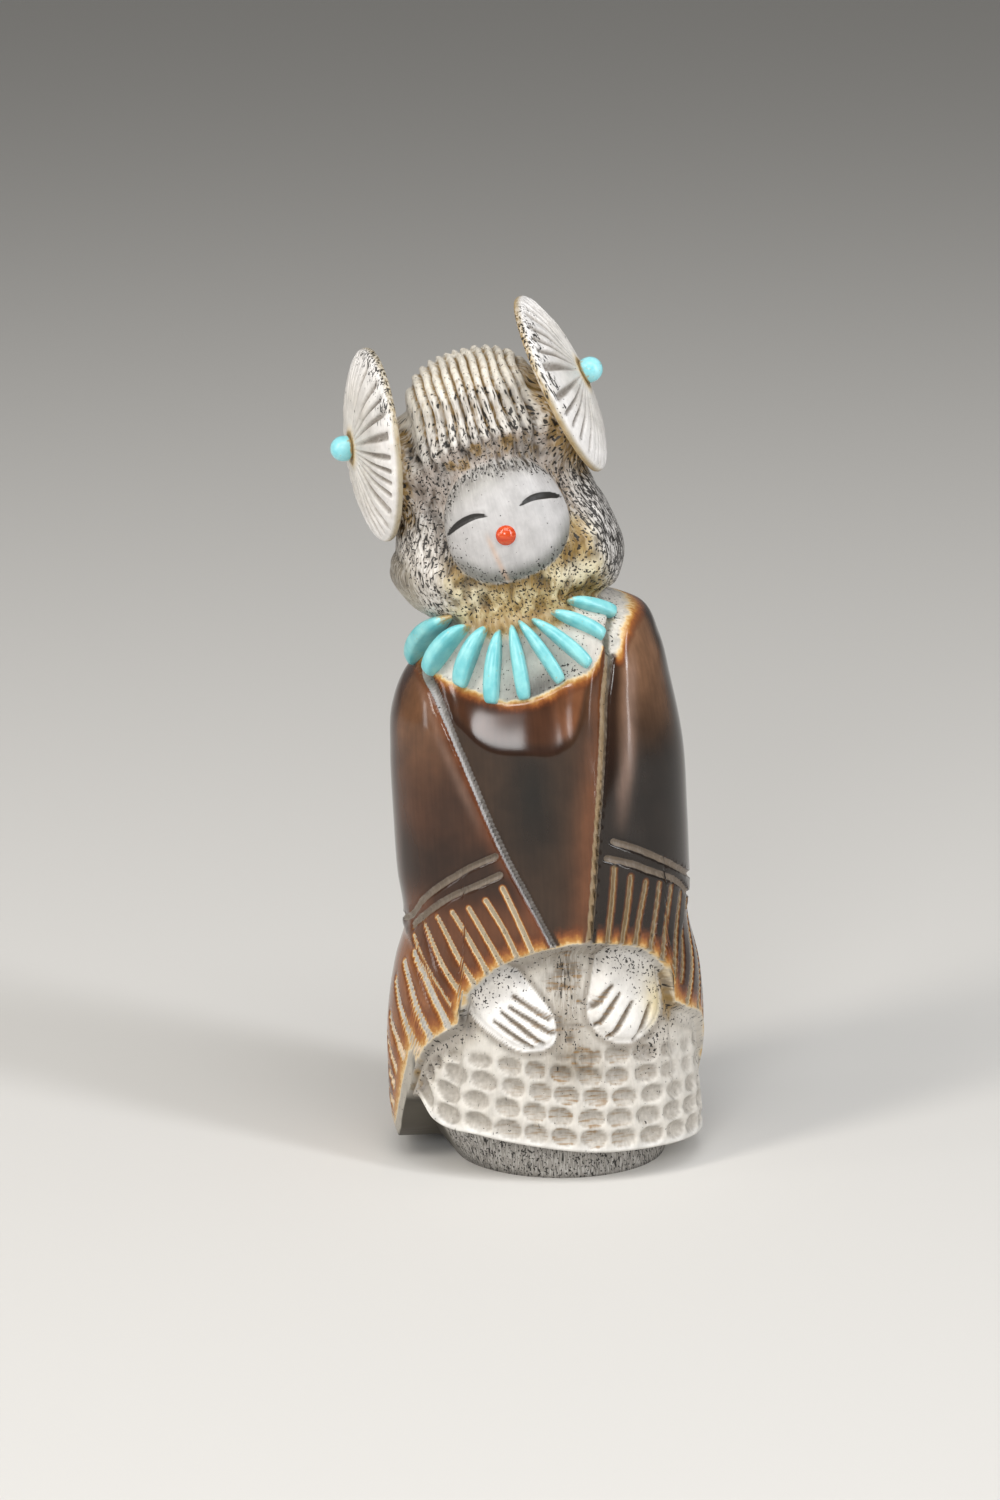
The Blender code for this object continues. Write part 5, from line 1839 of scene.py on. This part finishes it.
class Shading:
    """The nodes of one material."""

    def __init__(self, name: str) -> None:
        """Make an empty material.

        Args:
            name: its name.
        """
        self.material = bpy.data.materials.new(name)
        self.material.use_nodes = True
        self.tree = self.material.node_tree
        self.tree.nodes.clear()

    def add(self, kind: str, inputs: dict[Any, Any] | None = None, **settings: Any) -> bpy.types.Node:
        """Add a node with its settings and links.

        Args:
            kind: the node's type.
            inputs: a constant or the socket that feeds it, for each input by name or number.
            **settings: its own properties.

        Returns:
            The node.
        """
        node = self.tree.nodes.new(kind)
        for name, value in settings.items():
            setattr(node, name, value)
        for name, value in (inputs or {}).items():
            if isinstance(value, Socket):
                self.tree.links.new(value, node.inputs[name])
            else:
                node.inputs[name].default_value = value
        return node

    def noted(self, name: str, output: str = "Fac") -> Socket:
        """A value, direction or colour that was noted at the piece's points."""
        return self.add("ShaderNodeAttribute", attribute_name=name).outputs[output]

    def noise(self, place: Socket, size: float, detail: float, along: float = 0.0) -> Socket:
        """A random pattern.

        Args:
            place: where it is read.
            size: millimetres after which it changes.
            detail: how many finer patterns it holds.
            along: the same along Z, if it is another size there.

        Returns:
            Its values, from 0 to 1.
        """
        inputs = {"Vector": place, "Scale": per(size), "Detail": detail}
        if along:
            stretch = {"Vector": place, "Scale": (per(size), per(size), per(along))}
            inputs["Vector"] = self.add("ShaderNodeMapping", stretch).outputs["Vector"]
            inputs["Scale"] = 1.0
        return self.add("ShaderNodeTexNoise", inputs).outputs["Fac"]

    def remap(self, value: Socket, start: float, end: float, low: float = 0.0, high: float = 1.0) -> Socket:
        """Go from low to high as a value goes from start to end."""
        return self.add("ShaderNodeMapRange", {0: value, 1: start, 2: end, 3: low, 4: high}).outputs[0]

    def reckon(self, operation: str, *values: Socket | float, clamp: bool = False) -> Socket:
        """Reckon with sockets and numbers, kept between 0 and 1 if clamp is set."""
        inputs = dict(enumerate(values))
        return self.add("ShaderNodeMath", inputs, operation=operation, use_clamp=clamp).outputs[0]

    def mix(self, share: Socket | float, first: Any, second: Any, blend: str = "MIX") -> Socket:
        """Mix two colours, each a socket or a linear colour."""
        inputs = {"Fac": share, "Color1": first, "Color2": second}
        return self.add("ShaderNodeMixRGB", inputs, blend_type=blend).outputs[0]

    def polish(self, colour: Any, height: Socket | None, bump: Point, ior: float,
               roughness: Socket | float) -> None:
        """Give a material its surface.

        Args:
            colour: of the surface.
            height: of its fine relief, if it has any.
            bump: how strong and how high the relief is, in millimetres.
            ior: refractive index.
            roughness: of the surface.
        """
        inputs = {"Base Color": colour, "IOR": ior, "Roughness": roughness}
        if height is not None:
            relief = {"Strength": bump[0], "Distance": bump[1] * MM, "Height": height}
            inputs["Normal"] = self.add("ShaderNodeBump", relief).outputs["Normal"]
        shader = self.add("ShaderNodeBsdfPrincipled", inputs)
        self.add("ShaderNodeOutputMaterial", {"Surface": shader.outputs["BSDF"]})


@dataclass(frozen=True)
class Antler:
    """Deer antler: a white core, carved and sanded, under a dark bark polished to a gloss.

    Cut antler is fine-grained and a little waxy, with black pores along its fibres. Where
    the bark is cut through, it thins from dark brown over red and orange to cream.
    """

    name: str
    bark: bool
    pore: str = "#1b1815"
    ridge: str = "#f1eee9"
    hollow_dust_and_shade: str = "#8a8074"
    amber: str = "#8f7136"
    amber_deep: str = "#523b1a"
    eye: str = "#2b2927"
    stains: tuple[tuple[float, str, float], ...] = (
        (-1.2, "#4c2a18", 0.0), (-0.85, "#63351b", 0.6), (-0.5, "#8a5028", 0.9), (-0.2, "#ae7a3d", 1.0),
        (0.0, "#cfae78", 1.0), (0.14, "#d9cbb0", 1.0),
    )
    growth: str = "#8a6a3c"
    ior: float = 1.43
    bark_roughness: float = 0.14
    core_roughness: float = 0.42
    pore_size: tuple[float, float] = (0.3, 1.9)
    dot_size: float = 0.36
    bump: Point = (0.7, 0.16)

    def build(self) -> Finish:
        """Make the material.

        Returns:
            The material.
        """
        nodes = Shading(self.name)
        grain = nodes.noted("grain", "Vector")
        ragged = nodes.noise(grain, 0.55, 3.0)
        colour, height = self.core(nodes, grain, ragged)
        roughness: Socket | float = self.core_roughness
        if self.bark:
            colour, roughness, bare = self.bark_over(nodes, grain, colour, ragged)
            height = nodes.reckon("MULTIPLY", height, bare)
        nodes.polish(colour, height, self.bump, self.ior, roughness)
        return nodes.material

    def core(self, nodes: Shading, grain: Socket, ragged: Socket) -> tuple[Socket, Socket]:
        """Nodes for the cut antler.

        Args:
            nodes: the material's nodes.
            grain: places along the fibres.
            ragged: a fine noise.

        Returns:
            Its colour and the height of its surface.
        """
        pits, dashes, hollow, streak, amber = (
            nodes.noted(name) for name in ("pits", "dashes", "hollow", "streak", "amber"))
        # Fine fibres and a soft mottle, lighter and darker than the colour noted on the piece.
        fibre = nodes.noise(grain, 0.3, 2.0, along=2.4)
        rough = nodes.reckon("MULTIPLY_ADD", dashes, 1.1, 0.12, clamp=True)
        lined = nodes.mix(rough, (1, 1, 1, 1), nodes.remap(fibre, 0.3, 0.7, 0.8, 1.1))
        mottle = nodes.remap(nodes.noise(grain, 1.7, 3.0), 0.3, 0.7, 0.86, 1.08)
        both = nodes.mix(1.0, lined, mottle, "MULTIPLY")
        toned = nodes.mix(1.0, nodes.noted("core", "Color"), both, "MULTIPLY")
        # Hollows darken (dust of handling and painted shade), with the antler's growth lines over it.
        edge = nodes.reckon("MULTIPLY_ADD", ragged, 0.5, -0.25)
        deep = nodes.remap(nodes.reckon("ADD", hollow, edge), 0.05, 0.8)
        tint = nodes.mix(deep, toned, linear(self.hollow_dust_and_shade), "MULTIPLY")
        lines = nodes.remap(nodes.noise(grain, 2.6, 2.0, along=0.34), 0.5, 0.66, 0.0, 0.85)
        lines = nodes.reckon("MULTIPLY", lines, streak)
        lines = nodes.reckon("MULTIPLY", lines, nodes.remap(deep, 0.05, 0.35))
        tint = nodes.mix(lines, tint, linear(self.growth))
        # Glue and marrow lie in clots, darker where they are thick.
        clot = nodes.noise(grain, 0.7, 3.0, along=1.5)
        thick = nodes.reckon("MULTIPLY_ADD", clot, 0.9, amber)
        for start, stain in ((0.78, self.amber), (1.1, self.amber_deep)):
            share = nodes.remap(thick, start, start + 0.3, 0.0, 0.8)
            tint = nodes.mix(share, tint, linear(stain))
        # Pores: long ones between pale ridges, and round ones.
        dash = nodes.noise(grain, self.pore_size[0], 1.0, along=self.pore_size[1])
        dot = nodes.noise(grain, self.dot_size, 1.0)
        pale = nodes.reckon("MULTIPLY", nodes.remap(dash, 0.5, 0.36, 0.0, 0.5), dashes)
        tint = nodes.mix(pale, tint, linear(self.ridge))
        shares = []
        for pattern, reach, many in ((dash, -0.28, dashes), (dot, -0.26, pits)):
            over = nodes.reckon("SUBTRACT", pattern, nodes.reckon("MULTIPLY_ADD", many, reach, 0.8))
            shares.append(nodes.remap(over, 0.0, 0.03, 0.0, 0.94))
        pore = nodes.reckon("MAXIMUM", *shares)
        raised = nodes.reckon("MULTIPLY", fibre, rough)
        raised = nodes.reckon("MULTIPLY_ADD", ragged, 0.2, raised)
        raised = nodes.reckon("MULTIPLY_ADD", nodes.reckon("MULTIPLY", clot, amber), 3.0, raised)
        return nodes.mix(pore, tint, linear(self.pore)), nodes.reckon("SUBTRACT", raised, pore)

    def bark_over(self, nodes: Shading, grain: Socket, core: Socket, ragged: Socket) -> tuple[Socket, ...]:
        """Nodes that lay the polished bark, its stained border and the eyes over the cut antler.

        Args:
            nodes: the material's nodes.
            grain: places along the fibres.
            core: the cut antler's colour.
            ragged: a fine noise.

        Returns:
            The whole colour, the roughness, and how bare the antler is.
        """
        vein = nodes.noise(grain, 0.55, 3.0, along=9.0)
        dark = nodes.remap(vein, 0.3, 0.7, 0.9, 1.1)
        cloud = nodes.remap(nodes.noise(grain, 4.5, 3.0), 0.3, 0.7, 0.76, 1.22)
        both = nodes.reckon("MULTIPLY", dark, cloud)
        bark = nodes.mix(1.0, nodes.noted("bark", "Color"), both, "MULTIPLY")
        # The border wanders along the fibres, and its colours follow the noted depth of the cut.
        wander = nodes.reckon("MULTIPLY_ADD", vein, 0.7, nodes.reckon("SUBTRACT", ragged, 0.85))
        place = nodes.reckon("MULTIPLY_ADD", wander, 0.45, nodes.noted("rind"))
        first, last = self.stains[0][0], self.stains[-1][0]
        ramp = nodes.add("ShaderNodeValToRGB", {"Fac": nodes.remap(place, first, last)})
        stops = ramp.color_ramp.elements
        while len(stops) < len(self.stains):
            stops.new(0.5)
        for stop, (at, tint, cover) in zip(stops, self.stains):
            stop.position = (at - first) / (last - first)
            stop.color = (*linear(tint)[:3], cover)
        warm = nodes.reckon("SUBTRACT", 1.0, nodes.noted("cool"))
        warm = nodes.reckon("MULTIPLY", warm, ramp.outputs["Alpha"])
        stained = nodes.mix(warm, bark, ramp.outputs["Color"])
        bare = nodes.remap(place, 0.06, 0.34)
        whole = nodes.mix(bare, stained, core)
        closed = nodes.remap(nodes.noted("slit"), -0.02, 0.06)
        whole = nodes.mix(closed, whole, linear(self.eye))
        rough = nodes.remap(place, -0.4, 0.3, self.bark_roughness, self.core_roughness)
        return whole, rough, bare


@dataclass(frozen=True)
class Turquoise:
    """Turquoise, cut and polished: an even opaque sky blue with paler clouds and a soft gloss."""

    name: str = "turquoise_polished"
    stone: str = "#6cbec4"
    pale: str = "#8fd4d5"
    matrix: str = "#a9a67c"
    glue: str = "#b98d3c"
    ior: float = 1.61
    roughness: float = 0.3

    def build(self) -> Finish:
        """Make the material.

        Returns:
            The material.
        """
        nodes = Shading(self.name)
        place = nodes.add("ShaderNodeTexCoord").outputs["Object"]
        cloud = nodes.remap(nodes.noise(place, 1.8, 4.0), 0.35, 0.65)
        stone = nodes.mix(cloud, linear(self.stone), linear(self.pale))
        speck = nodes.noise(place, 0.6, 2.0)
        stone = nodes.mix(nodes.remap(speck, 0.68, 0.74, 0.0, 0.5), stone, linear(self.matrix))
        edge = nodes.reckon("MULTIPLY_ADD", speck, 1.2, -0.6)
        edge = nodes.reckon("ADD", nodes.noted("glue"), edge)
        colour = nodes.mix(nodes.remap(edge, 0.3, 0.7, 0.0, 0.85), stone, linear(self.glue))
        nodes.polish(colour, speck, (0.15, 0.05), self.ior, self.roughness)
        return nodes.material


@dataclass(frozen=True)
class Coral:
    """Red coral, turned and polished: orange-red with faint growth lines and a high gloss."""

    name: str = "coral_polished"
    stone: str = "#c03a12"
    pale: str = "#d25428"
    ior: float = 1.56
    roughness: float = 0.16

    def build(self) -> Finish:
        """Make the material.

        Returns:
            The material.
        """
        nodes = Shading(self.name)
        place = nodes.add("ShaderNodeTexCoord").outputs["Object"]
        line = nodes.noise(place, 1.4, 2.0, along=0.35)
        colour = nodes.mix(nodes.remap(line, 0.4, 0.7), linear(self.stone), linear(self.pale))
        nodes.polish(colour, line, (0.1, 0.03), self.ior, self.roughness)
        return nodes.material


# ---- the studio


@dataclass(frozen=True)
class Softbox:
    """A soft studio lamp.

    Attributes:
        name: what it is for.
        azimuth: degrees round the figure, 0 in front and positive to the right.
        elevation: degrees above the floor.
        distance: metres from the figure.
        width: metres across.
        tall: metres up.
        power: watts.
        tint: sRGB hex.
    """

    name: str
    azimuth: float
    elevation: float
    distance: float
    width: float
    tall: float
    power: float
    tint: str = "#ffffff"


@dataclass(frozen=True)
class Studio:
    """A pale floor, soft lamps and the camera."""

    target: tuple[float, float, float] = (-0.0064, 0.0, 0.0565)
    distance: float = 0.600
    elevation: float = 14.0
    lens: float = 105.6
    sensor: float = 36.0
    floor_size: float = 9.0
    floor: str = "#d8d6d2"
    ambient: str = "#e6e5e2"
    ambient_strength: float = 0.26
    lamps: tuple[Softbox, ...] = (
        Softbox("key_softbox", -52, 38, 0.95, 0.16, 0.7, 4.2, "#fffaf4"),
        Softbox("fill_softbox", 56, 34, 0.95, 0.14, 0.7, 3.4, "#f8faff"),
        Softbox("top_softbox", 5, 66, 1.0, 0.7, 0.5, 4.6),
        Softbox("front_softbox", -12, 22, 0.95, 0.23, 0.2, 2.1),
        Softbox("left_strip", -76, 4, 0.95, 0.14, 0.55, 1.2),
        Softbox("right_strip", 56, 8, 0.95, 0.1, 0.55, 1.3),
    )

    def build(self) -> None:
        """Lay the floor, light it and set the camera."""
        self.build_floor()
        for lamp in self.lamps:
            self.build_lamp(lamp)
        world = bpy.data.worlds.new("studio_air")
        world.use_nodes = True
        back = world.node_tree.nodes["Background"]
        back.inputs["Color"].default_value = linear(self.ambient)
        back.inputs["Strength"].default_value = self.ambient_strength
        bpy.context.scene.world = world
        tilt = radians(self.elevation)
        place = Vector(self.target) + self.distance * Vector((0, -cos(tilt), sin(tilt)))
        data = bpy.data.cameras.new("camera")
        data.lens, data.sensor_width, data.clip_start = self.lens, self.sensor, 0.01
        camera = bpy.data.objects.new("camera", data)
        bpy.context.scene.collection.objects.link(camera)
        camera.location = place
        camera.rotation_euler = (Vector(self.target) - place).to_track_quat("-Z", "Y").to_euler()
        bpy.context.scene.camera = camera
        bpy.context.scene.view_settings.view_transform = "Standard"
        LOG.info("studio: floor, %d lamps and camera", len(self.lamps))

    def build_floor(self) -> None:
        """A plain pale floor of painted board."""
        deselect_all()
        bpy.ops.mesh.primitive_plane_add(size=self.floor_size)
        floor = bpy.context.object
        floor.name = "studio_floor"
        board = Shading("painted_board_matt")
        board.polish(linear(self.floor), None, (), 1.45, 0.8)
        floor.data.materials.append(board.material)
        floor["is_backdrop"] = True

    def build_lamp(self, lamp: Softbox) -> None:
        """Hang one lamp, facing the figure.

        Args:
            lamp: its size, its place and its power.
        """
        data = bpy.data.lights.new(lamp.name, "AREA")
        data.shape, data.size, data.size_y = "RECTANGLE", lamp.width, lamp.tall
        data.energy, data.color = lamp.power, linear(lamp.tint)[:3]
        item = bpy.data.objects.new(lamp.name, data)
        bpy.context.scene.collection.objects.link(item)
        turn, rise = radians(lamp.azimuth), radians(lamp.elevation)
        way = Vector((sin(turn) * cos(rise), -cos(turn) * cos(rise), sin(rise)))
        item.location = Vector(self.target) + lamp.distance * way
        item.rotation_euler = (-way).to_track_quat("-Z", "Y").to_euler()


# ---- the whole part


def corners() -> list[list[float]]:
    """Lowest and highest corner of what is shown, as plain lists."""
    return [list(corner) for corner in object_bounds()]


def main() -> None:
    """Build the corn maiden around its frame, piece by piece."""
    logging.basicConfig(level=logging.INFO, format="%(name)s: %(message)s")
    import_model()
    whorls = (
        Whorl(Side.LEFT, (-22.5, -1.0, 98.9), 4.0, 15.0, 13.0, speckled=28.0, ochre=0.1),
        Whorl(Side.RIGHT, (1.1, -0.5, 106.8), 26.4, 6.0, 12.8, speckled=-52.0, ochre=0.6),
    )
    polished = Antler("antler_polished_over_carved", bark=True).build()
    carved = Antler("antler_carved", bark=False).build()
    turquoise = Turquoise().build()
    pale_turquoise = Turquoise("turquoise_pale_polished", "#7cd0da", "#a2e2e8").build()
    head = Head(Column())
    seats = Figure().build(head, whorls, polished)
    for whorl in whorls:
        whorl.build(carved)
        whorl.build_bead(pale_turquoise)
    necklace = Necklace()
    for number in range(1, len(necklace.tabs) + 1):
        necklace.build_tab(number, seats, turquoise)
    Mouth().build(head, Coral().build())
    Studio().build()


if __name__ == "__main__":
    main()
